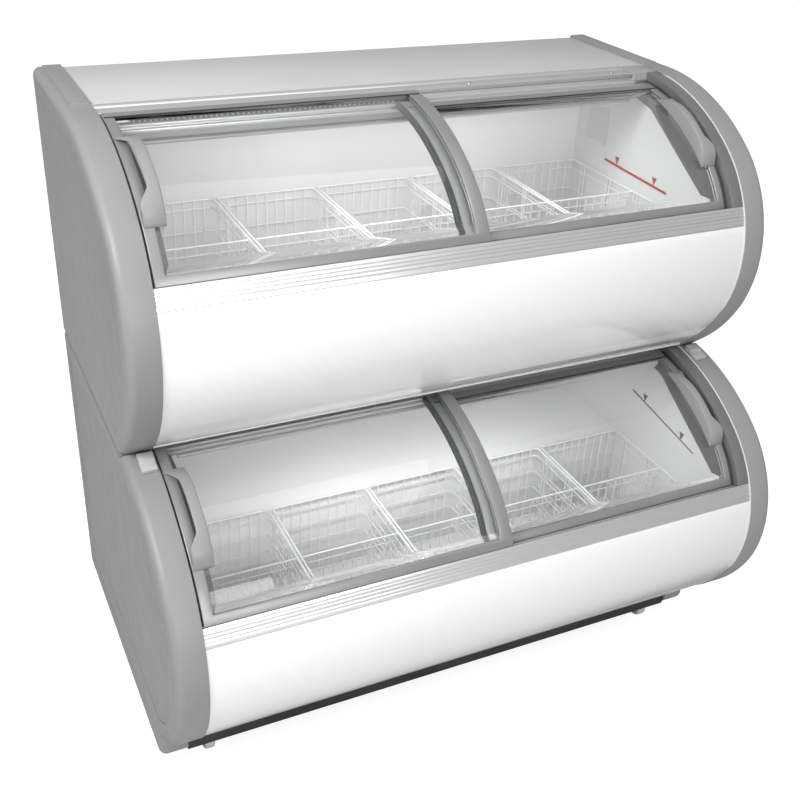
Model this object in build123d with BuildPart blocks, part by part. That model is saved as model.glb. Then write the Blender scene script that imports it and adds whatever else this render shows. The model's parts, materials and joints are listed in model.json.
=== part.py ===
"""Ice cream display freezer: two insulated tiers with curved sliding glass doors on a wheeled base.

The origin is on the floor, under the middle of the cabinet. +X runs along the width, to the right of
a customer, +Y to the back and +Z up. Sections are drawn by depth, measured forward from the back
plane, and by height, measured up from the feet of the side panels. A tier's front outline is named by
its turn, the angle in degrees that it has turned from level, and by an inset from that outline.
"""

import os
from dataclasses import dataclass
from itertools import pairwise
from math import acos, cos, degrees, hypot, radians, sin

from build123d import *

# Overall
width = 1300.0  # outer face of one side panel to the other
floor_gap = 38.0  # floor to the feet of the side panels
top_height = 1213.0  # feet to the level top of the side panels
fit_gap = 0.3  # between pieces that seat on each other
slide_gap = 0.5  # between a sliding door and its tracks
edge_gap = 4.0  # between a sliding door and a side panel

# Front outline of a tier: level, then three arcs that join smoothly
crown_start = 327.0
crown_radius = 450.0
crown_turn = 38.0
bulge_radius = 266.0
bulge_turn = 79.0
tuck_radius = 362.0
tier_shift = 183.5  # lower tier, forward of the upper one
tier_drop = 550.5  # lower tier, below the upper one

# Side panels
rim_width = 56.0
panel_skin = 5.0
rim_return = 42.0  # wall inside the rim, from the outline inward
rim_return_sheet = 3.0
panel_round = 16.0
seam_height = 641.0
seam_gap = 1.5
upper_tuck_turn = 138.0
lower_tuck_turn = 146.0
foot_depth = 690.0
foot_round = 24.0
neck_round = 34.0
recess_depth = 3.0
recess_margin = 42.0
recess_foot = 119.0
pad_width = 36.0
pad_length = 290.0
pad_height = 3.0

# Tank of a tier
liner_wall = 3.0
tank_width = 1110.0
tank_back = 130.0
front_wall = 63.0  # outline to the inside of the tank's front wall
mouth_start = 334.0  # ceiling's front edge, in the upper tier
mouth_bend = 390.0  # where the side wall's front edge turns down, in the upper tier
mouth_bend_height = 1141.0
ceiling_height = 1150.0
upper_floor = 735.0
lower_floor = 183.0
shelf_height = 375.0  # top of the step over the machine room
step_depth = 450.0
mouth_reach = 30.0  # how far the cut for the mouth goes past it
foam_back = 12.0
machine_foam = 50.0

# Front trim
sill_turn = 64.3
panel_turn = 72.8
trim_inset = 2.0
sill_groove = 1.6
sill_grooves = 4
sill_groove_start = 1.4  # first groove, in degrees of turn below the sill's top
sill_groove_pitch = 1.5
sill_groove_width = 0.45
chamber_turn = 3.4
chamber_wall_turn = 0.6
sheet = 2.5
header_turn = 2.2
inner_track_turn = 3.9
inner_header_turn = 5.5
header_start = 309.0
nosing_depth = 17.0
nosing_round = 9.0
header_slot = 4.0
header_slot_depth = 16.0
header_drop = 30.0
inner_header_drop = 37.0
top_sheet = 3.0
back_sheet = 1.5
top_step = 4.0  # top panel below the side panels' pads
jamb_inset = 38.0
post_width = 28.4  # fixed post in front of the inner door's outer edge
post_inset = 18.5

# Sliding doors
door_thickness = 14.0
outer_door_inset = 3.0
inner_door_inset = 21.0
outer_door_stile = 20.0
inner_door_stile = 43.0
meeting_stile = 26.0
meeting_edge = 17.0  # outer door's meeting edge, past the middle
inner_meeting_edge = 27.0  # inner door's meeting edge, past the middle on the other side
seal_width = 10.0
outer_top_rail = 8.0
inner_top_rail = 20.0
foot_rail = 18.0
glass_thickness = 4.0
glass_inset = 5.0  # door's outer face to the glass
glass_bite = 6.0
tongue_length = 8.0
handle_start = 15.0
handle_end = 43.0
handle_foot_turn = 2.4
handle_crest = 29.0  # proud of the door's face at the middle
handle_shell = 4.0
handle_web = 3.0
handle_scallop = 11.0  # free edge's step back from the feet
outer_handle_side = 551.0  # straight edge of the outer door's handle, left of the middle
inner_handle_side = 529.0  # straight edge of the inner door's handle, right of the middle
outer_handle_width = 37.0
inner_handle_width = 34.0

# Baskets
baskets_per_tier = 5
basket_gap = 4.0
basket_wire = 4.0
rim_wire_pitch = 18.0
basket_clearance = 14.0  # basket rim to the tank's front wall, for lifting it out
upper_basket_height = 224.0
lower_basket_height = 197.0
basket_chamfer_rise = 112.0
side_wire_pitch = 50.0
end_wire_pitch = 23.0
side_rows = 3
divider_place = 0.5  # along the basket, as a fraction of its length

# Caps at the joint between the two tiers
joint_start = 9.6  # in degrees of turn of the lower tier
joint_end = 15.0
joint_height = 8.0
joint_width = 28.0
joint_step = 3.0
joint_inset = 4.0

# Lamps and cooling plates
lamp_start = 316.0
lamp_depth = 23.0
lamp_height = 28.8
lamp_length = 1076.0
led_inset = 18.5
led_height = 10.0
led_thickness = 3.0
plate_width = 960.0
plate_thickness = 2.0
plate_margin = 30.0
tube_radius = 4.0
tube_pitch = 45.0
upper_plate_rows = 8
lower_plate_rows = 4

# Base and casters
base_back = 7.0
base_front = 684.0
base_top = 60.0
base_bottom = 2.0
base_sheet = 3.0
deck_floor = 37.0  # underside of the base's deck
caster_side = 545.0
caster_depths = (632.0, 60.0)  # front and rear pair
caster_trail = 18.0
caster_plate = 64.0
caster_plate_sheet = 4.0
bearing_radius = 17.0
bearing_height = 5.0
crown_radius_out = 23.0
crown_height = 5.0
swivel_radius = 6.0
swivel_head = 9.0
swivel_head_height = 4.0
wheel_radius = 25.0
wheel_width = 22.0
wheel_round = 5.0
wheel_dish = 3.0
axle_radius = 4.0
axle_head = 7.0
running_gap = 0.05
fork_sheet = 3.0
fork_gap = 0.6

# Machine room
machine_depth = 400.0
grille_depth = 7.9
grille_top = 330.0
grille_sheet = 2.0
louvre_height = 9.0
louvre_pitch = 20.0
louvre_length = 150.0
louvre_columns = 4
louvre_rows = 9
compressor_side = 330.0
compressor_depth = 215.0
compressor_radius = 84.0
compressor_height = 168.0
compressor_foot = 14.0
compressor_foot_reach = 96.0
compressor_foot_depth = 134.0
compressor_dome = 38.0
compressor_band_height = 92.0
grommet_radius = 10.0
terminal_height = 34.0
terminal_width = 59.0
terminal_length = 67.0
terminal_reach = 50.0
terminal_round = 5.0
condenser_side = -250.0
condenser_start = 304.0
condenser_width = 320.0
condenser_height = 220.0
condenser_thickness = 62.0
fin_pitch = 12.0
fin_sheet = 1.2
condenser_rows = 6
condenser_pitch = 34.0
fan_height = 150.0
fan_radius = 92.0
fan_clearance = 6.0
shroud_depth = 40.0
shroud_sheet = 2.0
motor_radius = 34.0
motor_length = 52.0
arm_width = 12.0
arm_sheet = 6.0
shaft_radius = 4.0
blade_count = 5
blade_sheet = 2.0
blade_tilt = 60.0
blade_chord = 37.0
hub_radius = 20.0
hub_length = 22.0
pipe_radius = 4.0
pipe_bend = 18.0
box_side = -500.0
box_width = 150.0
box_height = 110.0
box_depth = 62.0
box_middle = 230.0
box_sheet = 2.5
switch_side = -470.0
rocker_width = 12.0
rocker_reach = 9.0
rocker_travel = 16.0
rocker_tip = 8.0
rocker_front = 6.0
rocker_dip = 2.0
rocker_back = 5.0
rocker_taper = 1.0
switch_wall = 1.5
switch_depth = 20.0
pivot_radius = 1.5
pivot_depth = 5.0
inlet_side = -525.0
inlet_width = 28.0
inlet_height = 20.0
inlet_depth = 18.0
inlet_wall = 3.0
inlet_round = 2.0
pin_pitch = 7.0
pin_shift = 2.0
pin_width = 2.0
pin_height = 5.0

# Worked out from the sizes above
bulge_depth = crown_start + (crown_radius - bulge_radius) * sin(radians(crown_turn))
bulge_height = top_height - crown_radius + (crown_radius - bulge_radius) * cos(radians(crown_turn))
tuck_turn = crown_turn + bulge_turn
tuck_depth = bulge_depth + (bulge_radius - tuck_radius) * sin(radians(tuck_turn))
tuck_height = bulge_height + (bulge_radius - tuck_radius) * cos(radians(tuck_turn))
depth = bulge_depth + bulge_radius + tier_shift
back = depth / 2
rim_inner = width / 2 - rim_width
foam_front = trim_inset + sheet + fit_gap
trim_side = rim_inner - 2 * fit_gap
tank_side = tank_width / 2
machine_ceiling = shelf_height - liner_wall - machine_foam


@dataclass(frozen=True)
class Tier:
    """What differs between the two tiers, as shifts from the upper one."""

    name: str
    forward: float
    down: float
    floor: float
    basket_back: float
    basket_height: float
    outline_end: float
    plate_rows: int


upper = Tier("upper", 0, 0, upper_floor, tank_back, upper_basket_height, upper_tuck_turn,
             upper_plate_rows)
lower = Tier("lower", tier_shift, tier_drop, lower_floor, step_depth, lower_basket_height,
             lower_tuck_turn, lower_plate_rows)
tiers = (upper, lower)


def at(place_depth, height):
    """Point of a side section, from its depth and its height above the feet."""
    return (back - place_depth, floor_gap + height)


def place(x, place_depth, height):
    """Point in space, from its side, its depth and its height above the feet."""
    return (x, back - place_depth, floor_gap + height)


def arc_at(turn):
    """Centre and radius of the upper tier's arc at a turn of its outline."""
    if turn <= crown_turn:
        return crown_start, top_height - crown_radius, crown_radius
    if turn <= tuck_turn:
        return bulge_depth, bulge_height, bulge_radius
    return tuck_depth, tuck_height, tuck_radius


def outline_at(tier, turn, inset=0.0):
    """Depth and height of a tier's outline at a turn, moved inward by an inset."""
    centre_depth, centre_height, radius = arc_at(turn)
    reach = radius - inset
    return (centre_depth + reach * sin(radians(turn)) + tier.forward,
            centre_height + reach * cos(radians(turn)) - tier.down)


def outline_point(tier, turn, inset=0.0):
    """The same place as a point of a side section."""
    return at(*outline_at(tier, turn, inset))


def turn_at_height(tier, height, inset):
    """Turn at which the tucked-in part of an outline passes a height."""
    level = height + tier.down - tuck_height
    return degrees(acos(level / (tuck_radius - inset)))


def arc_turn(length, inset=0.0, radius=crown_radius):
    """Turn that a length covers on an arc."""
    return degrees(length / (radius - inset))


def outline_arcs(tier, start, end, inset):
    """Draw a tier's outline between two turns, in the line that is open."""
    stops = [start] + [turn for turn in (crown_turn, tuck_turn) if start < turn < end] + [end]
    for first, last in pairwise(stops):
        middle = (first + last) / 2
        ThreePointArc(*(outline_point(tier, turn, inset) for turn in (first, middle, last)))


def strip(tier, start, end, outer, inner, x=0.0):
    """Closed band between two insets and two turns of a tier's outline."""
    with BuildSketch(Plane.YZ.offset(x)) as band:
        with BuildLine():
            outline_arcs(tier, start, end, outer)
            outline_arcs(tier, start, end, inner)
            for turn in (start, end):
                Line(outline_point(tier, turn, outer), outline_point(tier, turn, inner))
        make_face()
    return band.sketch


def section(points, x=0.0):
    """Closed polygon of a side section, from depths and heights."""
    with BuildSketch(Plane.YZ.offset(x)) as area:
        with BuildLine():
            Polyline(*(at(*point) for point in points), close=True)
        make_face()
    return area.sketch


def round_corner(area, point, radius):
    """Round the corner of a side section that lies at a depth and height."""
    y, z = at(*point)
    fillet(area.vertices().sort_by_distance((y, z, 0))[0], radius=radius)


def side_outline(tier, x, grow=0.0):
    """A side panel's outline before the lower one makes room for the upper, grown by a margin."""
    end_depth, end_height = outline_at(tier, tier.outline_end)
    run = 1 / abs(sin(radians(tier.outline_end)) / cos(radians(tier.outline_end)))
    level = top_height - tier.down
    if tier is upper:
        corner = (end_depth - (end_height - seam_height) * run, seam_height)
        foot = [corner, (0, seam_height)]
    else:
        corner = (foot_depth, end_height - (end_depth - foot_depth) / run)
        foot = [corner, (foot_depth, 0), (0, 0)]
    points = [(end_depth, end_height)] + foot + [(0, level), (crown_start + tier.forward, level)]
    with BuildSketch(Plane.YZ.offset(x)) as area:
        with BuildLine():
            outline_arcs(tier, 0, tier.outline_end, 0)
            Polyline(*(at(*point) for point in points))
        make_face()
        round_corner(area, corner, neck_round)
        if tier is lower:
            round_corner(area, (foot_depth, 0), foot_round)
        if grow:
            offset(amount=grow, kind=Kind.INTERSECTION)
    return area.sketch


def side_block(tier, margin, start, end):
    """Block with a side panel's outline, set in by a margin, between two places along X."""
    with BuildPart() as block:
        extrude(side_outline(tier, start, -margin), amount=end - start)
        if tier is lower:
            room = side_outline(upper, start, seam_gap + margin)
            extrude(room, amount=end - start, mode=Mode.SUBTRACT)
    return block.part


def side_panel(tier):
    """Right-hand side panel: a shell open to the foam, with a soft rim, folded in, and a recessed face."""
    outer = width / 2
    seam = at(0, seam_height - seam_gap)[1] - seam_gap
    neck = at(outline_at(upper, upper.outline_end)[0], 0)[0] - neck_round
    with BuildPart() as panel:
        add(side_block(tier, 0, rim_inner, outer))
        rim = panel.faces().sort_by(Axis.X)[-1].edges()
        level = rim.filter_by(Axis.Y).sort_by(Axis.Z)
        joint = [level[0]] if tier is upper else [
            edge for edge in rim if edge.center().Z > seam and edge.center().Y > neck]
        fillet([edge for edge in rim if edge not in joint], radius=panel_round)
        hollow = rim_inner + rim_return_sheet
        add(side_block(tier, rim_return, rim_inner, hollow), mode=Mode.SUBTRACT)
        add(side_block(tier, panel_skin, hollow, outer - panel_skin - recess_depth), mode=Mode.SUBTRACT)
        add(side_recess(tier), mode=Mode.SUBTRACT)
        if tier is upper:
            with BuildSketch(Plane.XY.offset(floor_gap + top_height)):
                with Locations((rim_inner + pad_width / 2, back - seam_gap - pad_length / 2)):
                    RectangleRounded(pad_width, pad_length, pad_height)
            extrude(amount=pad_height)
    return panel.part


def side_recess(tier):
    """The shallow recess in a side panel's outer face."""
    outer = width / 2
    with BuildPart() as recess:
        add(side_block(tier, recess_margin, outer - recess_depth, outer))
        if tier is lower:
            split(bisect_by=Plane.XY.offset(floor_gap + recess_foot), keep=Keep.TOP)
    return recess.part


def foam_top(tier):
    """Height of the top of a tier's foam, under the top panel or the tier above."""
    if tier is upper:
        return top_height + pad_height - top_step - top_sheet - fit_gap
    return top_height - tier.down


def deck_height():
    """Height of the underside of the upper tier, which stands on the lower one."""
    return foam_top(lower) + fit_gap


def tank_section(tier, grow, reach=0.0, x=0.0):
    """Section of a tank, grown by its wall, with its mouth pushed out by a reach."""
    ahead, down = tier.forward, tier.down
    floor_turn = turn_at_height(tier, tier.floor - grow, front_wall - grow)
    corner = outline_at(tier, floor_turn, front_wall - grow)
    lip = outline_at(tier, sill_turn, front_wall - grow - reach)
    bend = (mouth_bend + ahead + reach, mouth_bend_height - down + 2 * reach)
    ceiling = ceiling_height - down + grow
    points = [outline_at(tier, sill_turn, front_wall - grow)] + ([lip] if reach else [])
    points += [bend, (mouth_start + ahead, ceiling), (tank_back - grow, ceiling)]
    if tier is lower:
        points += [(tank_back - grow, shelf_height - grow), (step_depth - grow, shelf_height - grow)]
    points += [(tier.basket_back - grow, tier.floor - grow), corner]
    with BuildSketch(Plane.YZ.offset(x)) as area:
        with BuildLine():
            outline_arcs(tier, sill_turn, floor_turn, front_wall - grow)
            Polyline(*(at(*point) for point in points))
        make_face()
    return area.sketch


def liner(tier):
    """White inner tank of a tier, open at its slanted mouth: a wrapped wall and two ends."""
    with BuildPart() as wall:
        extrude(tank_section(tier, liner_wall), amount=tank_side, both=True)
        extrude(tank_section(tier, 0, mouth_reach), amount=tank_side, both=True, mode=Mode.SUBTRACT)
    with BuildPart() as end:
        extrude(tank_section(tier, liner_wall, x=tank_side), amount=liner_wall)
    return Compound(children=[wall.part] + both_hands(end.part))


def foam_section(tier):
    """Section of the foam of a tier, from its outer sheet to the mouth, with the tank still filled."""
    wall = front_wall - liner_wall - fit_gap
    end = tier.outline_end
    if tier is upper:
        fold_top, fold_back = deck_height() + sheet + fit_gap, header_start + tier_shift - fit_gap
        end = turn_at_height(tier, fold_top, foam_front)
        bottom = [(fold_back, fold_top), (fold_back, deck_height()), (foam_back, deck_height())]
    else:
        seat, front = base_top + fit_gap, base_front + fit_gap
        bottom = [(front, seat + sheet + 2 * fit_gap), (front, seat), (machine_depth, seat),
                  (machine_depth, machine_ceiling), (foam_back, machine_ceiling)]
    ahead, down = tier.forward, tier.down
    header_back = header_start + ahead - fit_gap - (nosing_depth if tier is upper else 0)
    under, lamp_back = top_height - down - header_drop - fit_gap, lamp_start + ahead - fit_gap
    points = [outline_at(tier, end, foam_front)] + bottom
    points += [(foam_back, foam_top(tier)), (header_back, foam_top(tier)), (header_back, under),
               (lamp_back, under), (lamp_back, ceiling_height - down),
               (mouth_start + ahead, ceiling_height - down),
               (mouth_bend + ahead, mouth_bend_height - down), outline_at(tier, sill_turn, wall),
               outline_at(tier, panel_turn, wall), outline_at(tier, panel_turn, foam_front)]
    with BuildSketch(Plane.YZ) as area:
        with BuildLine():
            outline_arcs(tier, panel_turn, end, foam_front)
            Polyline(*(at(*point) for point in points))
        make_face()
    return area.sketch


def foam(tier):
    """Foam of a tier, round its tank and inside its two side panels."""
    start, end = rim_inner - fit_gap, width / 2 - panel_skin - recess_depth - fit_gap
    hollow = rim_inner + rim_return_sheet + fit_gap
    plug = side_block(tier, rim_return + fit_gap, start, hollow)
    core = side_block(tier, panel_skin + fit_gap, hollow, end)
    low, high = plate_heights(tier)
    rear = tank_back - liner_wall
    with BuildPart() as block:
        extrude(foam_section(tier), amount=start, both=True)
        tank = tank_section(tier, liner_wall + fit_gap)
        extrude(tank, amount=tank_side + liner_wall + fit_gap, both=True, mode=Mode.SUBTRACT)
        with BuildSketch(Plane.XZ.offset(rear - back)):
            with Locations((0, floor_gap + (low + high) / 2)):
                Rectangle(plate_width + 4 * tube_radius, high - low + 4 * tube_radius)
        extrude(amount=-(plate_thickness + 3 * tube_radius), mode=Mode.SUBTRACT)
        for side in (plug, core):
            add(side)
            add(mirror(side, about=Plane.YZ, mode=Mode.PRIVATE))
    return block.part


def plate_heights(tier):
    """Bottom and top of the cooling plate on the back of a tank."""
    foot = shelf_height if tier is lower else tier.floor
    return foot + plate_margin, ceiling_height - tier.down - plate_margin


def cooling_plate(tier):
    """Plate on the back of a tank, with a tube that runs to and fro over it."""
    low, high = plate_heights(tier)
    front = tank_back - liner_wall - 2 * fit_gap
    middle = floor_gap + (low + high) / 2
    rows = centred_rows(middle, tier.plate_rows, tube_pitch)
    with BuildPart() as plate:
        with BuildSketch(Plane.XZ.offset(front - back)):
            with Locations((0, middle)):
                RectangleRounded(plate_width, high - low, tube_pitch / 4)
        extrude(amount=-plate_thickness)
        plane = Plane.XZ.offset(front - back - plate_thickness - tube_radius)
        add(winding(plane, rows, plate_width / 2 - 2 * tube_pitch))
    return plate.part


def centred_rows(middle, count, pitch):
    """Evenly spaced heights about a middle one."""
    return [middle + (k - (count - 1) / 2) * pitch for k in range(count)]


def winding(plane, rows, run):
    """Tube that runs to and fro in a plane, one row above another, with round turns at the ends."""
    points = []
    for k, height in enumerate(rows):
        side = -1 if k % 2 else 1
        points += [(side * run, height), (-side * run, height)]
    bend = (rows[1] - rows[0]) / 2 * 0.98
    with BuildPart() as tube:
        with BuildLine(plane) as path:
            FilletPolyline(*points, radius=bend)
        with BuildSketch(Plane(origin=path.line @ 0, z_dir=path.line % 0)):
            Circle(tube_radius)
        sweep(path=path.line)
    return tube.part


def sill(tier):
    """Aluminium sill of a tier, with a track for each door and grooves along its face."""
    inner = front_wall - liner_wall - fit_gap
    start, length = -trim_side, 2 * trim_side
    with BuildPart() as bar:
        end = panel_turn - arc_turn(fit_gap, 0, bulge_radius)
        extrude(strip(tier, sill_turn, end, trim_inset, inner, start), amount=length)
        for inset in (outer_door_inset, inner_door_inset):
            track = sill_turn + arc_turn(tongue_length + slide_gap, inset, bulge_radius)
            outer = inset + glass_inset - slide_gap
            slot = strip(tier, sill_turn - 1, track, outer, outer + glass_thickness + 2 * slide_gap, start)
            extrude(slot, amount=length, mode=Mode.SUBTRACT)
        for k in range(sill_grooves):
            turn = sill_turn + sill_groove_start + k * sill_groove_pitch
            groove = strip(tier, turn, turn + sill_groove_width, trim_inset - 1, trim_inset + sill_groove,
                           start)
            extrude(groove, amount=length, mode=Mode.SUBTRACT)
        chamber = strip(tier, end - chamber_turn, end - chamber_wall_turn, trim_inset + 2 * sheet,
                        inner - 2 * sheet, start)
        extrude(chamber, amount=length, mode=Mode.SUBTRACT)
    return bar.part


def header(tier):
    """Aluminium header over the doors of a tier, with a track for each door."""
    start, length = -trim_side, 2 * trim_side
    first, last = header_start + tier.forward, crown_start + tier.forward
    level = top_height - tier.down
    link_turn = header_turn - arc_turn(tongue_length / 2)
    with BuildPart() as bar:
        top, foot, ledge = level - outer_door_inset, level - header_drop, level - header_slot_depth
        extrude(section([(first + header_slot, top), (last, top), (last, foot), (first, foot),
                         (first, ledge), (first + header_slot, ledge)], start), amount=length)
        extrude(strip(tier, 0, header_turn, outer_door_inset, header_drop, start), amount=length)
        for turn, inset in ((link_turn, header_drop - 1), (inner_track_turn, inner_door_inset)):
            extrude(strip(tier, turn, inner_header_turn, inset, inner_header_drop, start), amount=length)
        for turn, inset in ((header_turn, outer_door_inset), (inner_header_turn, inner_door_inset)):
            track = turn - arc_turn(tongue_length + slide_gap, inset)
            outer = inset + glass_inset - slide_gap
            slot = strip(tier, track, turn + 1, outer, outer + glass_thickness + 2 * slide_gap, start)
            extrude(slot, amount=length, mode=Mode.SUBTRACT)
        if tier is upper:
            nose_back, nose_front = header_start - nosing_depth, header_start
            nose_top, nose_foot = level - 1, level - header_drop
            extrude(section([(nose_back, nose_top), (nose_front, nose_top), (nose_front, nose_foot),
                             (nose_back, nose_foot)], start), amount=length)
            nose = bar.edges().filter_by(Axis.X).group_by(Axis.Z)[-1].sort_by(Axis.Y)[0]
            fillet(nose, radius=nosing_round)
    return bar.part


def jamb(tier):
    """Dark jamb on the right of a tier's mouth, between the tank's edge and the doors."""
    ahead, down = tier.forward, tier.down
    inner = front_wall - liner_wall - fit_gap
    sill_edge = sill_turn - arc_turn(fit_gap, jamb_inset, bulge_radius)
    points = [(crown_start + ahead, top_height - down - jamb_inset),
              (crown_start + ahead, ceiling_height - down + liner_wall + fit_gap),
              (mouth_start + ahead + fit_gap, ceiling_height - down + liner_wall + fit_gap),
              (mouth_bend + ahead + fit_gap, mouth_bend_height - down + fit_gap),
              outline_at(tier, sill_edge, inner), outline_at(tier, sill_edge, jamb_inset)]
    with BuildPart() as block:
        with BuildSketch(Plane.YZ.offset(tank_side)):
            with BuildLine():
                outline_arcs(tier, 0, sill_edge, jamb_inset)
                Polyline(*(at(*point) for point in points))
            make_face()
        extrude(amount=trim_side - tank_side)
    return block.part


def post(tier):
    """Curved post at the right end of a tier, which covers the inner door's outer edge."""
    first = header_turn + arc_turn(fit_gap)
    last = sill_turn - arc_turn(fit_gap, 0, bulge_radius)
    with BuildPart() as bar:
        extrude(strip(tier, first, last, trim_inset, post_inset, trim_side - post_width), amount=post_width)
    return bar.part


def front_panel(tier):
    """White sheet below the sill of a tier, with the fold that closes its underside."""
    outer, inner = trim_inset, trim_inset + sheet
    start, length = -trim_side, 2 * trim_side
    with BuildPart() as panel:
        if tier is upper:
            end = turn_at_height(tier, deck_height() + sheet, inner)
            bend_depth, bend_height = outline_at(tier, end, inner)
            fold = [(bend_depth + 2 * sheet, bend_height), (header_start + tier_shift, bend_height),
                    (header_start + tier_shift, bend_height - sheet),
                    (bend_depth + 2 * sheet, bend_height - sheet)]
        else:
            end = tier.outline_end
            bend_depth, bend_height = outline_at(tier, end, inner)
            fold = [outline_at(tier, end, outer), (bend_depth, bend_height),
                    (base_front + 2 * fit_gap, base_top + 2 * fit_gap + sheet),
                    (base_front + 2 * fit_gap, base_top + 2 * fit_gap)]
        extrude(strip(tier, panel_turn, end, outer, inner, start), amount=length)
        extrude(section(fold, start), amount=length)
    return panel.part


def door_span(outer):
    """Left and right edge of a tier's outer or inner door."""
    if outer:
        return edge_gap - rim_inner, meeting_edge
    return -inner_meeting_edge, rim_inner - edge_gap


def door_stiles(outer):
    """Widths of the left and right stile of a tier's outer or inner door."""
    return (outer_door_stile, meeting_stile) if outer else (meeting_stile, inner_door_stile)


def door_turns(outer):
    """Turns at which a door starts, under its header track, and ends, over its sill track."""
    start = header_turn if outer else inner_header_turn
    inset = outer_door_inset if outer else inner_door_inset
    return start + arc_turn(slide_gap, inset), sill_turn - arc_turn(slide_gap, inset, bulge_radius)


def door_frame(tier, outer):
    """Frame of a sliding door: two curved stiles and two rails, with a tongue in each track."""
    inset = outer_door_inset if outer else inner_door_inset
    left, right = door_span(outer)
    left_stile, right_stile = door_stiles(outer)
    top, foot = door_turns(outer)
    glass_outer = inset + glass_inset
    top_rail = outer_top_rail if outer else inner_top_rail
    window_top = top + arc_turn(top_rail, inset)
    window_foot = foot - arc_turn(foot_rail, inset, bulge_radius)
    tongue_top = top - arc_turn(tongue_length, inset)
    tongue_foot = foot + arc_turn(tongue_length, inset, bulge_radius)
    start, length = left + left_stile, right - left - left_stile - right_stile
    with BuildPart() as frame:
        extrude(strip(tier, top, foot, inset, inset + door_thickness, left), amount=right - left)
        window = strip(tier, window_top, window_foot, inset - 1, inset + door_thickness + 1, start)
        extrude(window, amount=length, mode=Mode.SUBTRACT)
        rebate = strip(tier, *glass_turns(outer, fit_gap), glass_outer - fit_gap,
                       glass_outer + glass_thickness + fit_gap, start - glass_bite - fit_gap)
        extrude(rebate, amount=length + 2 * (glass_bite + fit_gap), mode=Mode.SUBTRACT)
        for first, last in ((tongue_top, top), (foot, tongue_foot)):
            tongue = strip(tier, first, last, glass_outer, glass_outer + glass_thickness,
                           left + glass_bite)
            extrude(tongue, amount=right - left - 2 * glass_bite)
    return frame.part


def glass_turns(outer, margin=0.0):
    """Turns between which a door's glass lies, with a margin at both ends."""
    inset = outer_door_inset if outer else inner_door_inset
    top, foot = door_turns(outer)
    top_rail = outer_top_rail if outer else inner_top_rail
    bite = glass_bite + margin
    return top + arc_turn(top_rail - bite, inset), foot - arc_turn(foot_rail - bite, inset, bulge_radius)


def door_glass(tier, outer):
    """Curved pane of a sliding door, held in its frame's rebate."""
    inset = (outer_door_inset if outer else inner_door_inset) + glass_inset
    left, right = door_span(outer)
    left_stile, right_stile = door_stiles(outer)
    start = left + left_stile - glass_bite
    length = right - left - left_stile - right_stile + 2 * glass_bite
    with BuildPart() as pane:
        extrude(strip(tier, *glass_turns(outer), inset, inset + glass_thickness, start), amount=length)
    return pane.part


def bow(tier, start, end, inset, crest, x):
    """Side section between a door's face and an arc that bows out from it."""
    with BuildSketch(Plane.YZ.offset(x)) as area:
        with BuildLine():
            ThreePointArc(outline_point(tier, start, inset), outline_point(tier, (start + end) / 2, crest),
                          outline_point(tier, end, inset))
            outline_arcs(tier, start, end, inset)
        make_face()
    return area.sketch


def door_handle(tier, outer):
    """Bowed pull handle by a door's outer stile: a shell on two flared feet, closed on the glass side."""
    inset = outer_door_inset if outer else inner_door_inset
    crest = inset - handle_crest
    if outer:
        first, width_over = -outer_handle_side - outer_handle_width, outer_handle_width
        scallop, web = first, -outer_handle_side - handle_web
    else:
        first, width_over = inner_handle_side, inner_handle_width
        scallop, web = first + width_over - handle_scallop, inner_handle_side
    room_start, room_end = handle_start + handle_foot_turn, handle_end - handle_foot_turn
    with BuildPart() as shell:
        extrude(bow(tier, handle_start, handle_end, inset, crest, first), amount=width_over)
        room = bow(tier, room_start, room_end, inset, crest + handle_shell, first)
        extrude(room, amount=width_over, mode=Mode.SUBTRACT)
        step = bow(tier, room_start, room_end, inset, crest - handle_shell, scallop)
        extrude(step, amount=handle_scallop, mode=Mode.SUBTRACT)
    with BuildPart() as side:
        extrude(bow(tier, room_start, room_end, inset, crest + handle_shell, web), amount=handle_web)
    return Compound(children=[shell.part, side.part])


def door_seal(tier):
    """Ribbed strip on the inner door's meeting edge, which closes the gap to the outer door."""
    start, foot = door_turns(False)
    outer = inner_door_inset - (inner_door_inset - outer_door_inset - door_thickness) + slide_gap
    left = -inner_meeting_edge - seal_width
    rib = seal_width / 5
    with BuildPart() as seal:
        extrude(strip(tier, start, foot, outer + 2, inner_door_inset + door_thickness / 2, left),
                amount=seal_width - fit_gap)
        for k in range(2):
            bead = strip(tier, start, foot, outer, outer + 2, left + (1 + 2 * k) * rib)
            extrude(bead, amount=rib)
    return seal.part


def rim_depth(tier, height, inset):
    """Depth of a tier's outline at a height on its bulge."""
    turn = degrees(acos((height + tier.down - bulge_height) / (bulge_radius - inset)))
    return outline_at(tier, turn, inset)[0]


def basket_shape(tier):
    """Depths of a basket's back, front foot and front, and heights of its foot and rim."""
    foot = tier.floor + fit_gap
    rim = foot + tier.basket_height
    rear = tier.basket_back + basket_clearance / 4
    toe = outline_at(tier, turn_at_height(tier, foot, front_wall), front_wall)[0] - basket_clearance
    front = rim_depth(tier, rim, front_wall) - basket_clearance
    return rear, toe, front, foot, rim


def basket_side(tier, x):
    """Side section of a basket, with its front foot cut off at a slant."""
    rear, toe, front, foot, rim = basket_shape(tier)
    return section([(rear, foot), (rear, rim), (front, rim), (front, foot + basket_chamfer_rise),
                    (toe, foot)], x)


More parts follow.
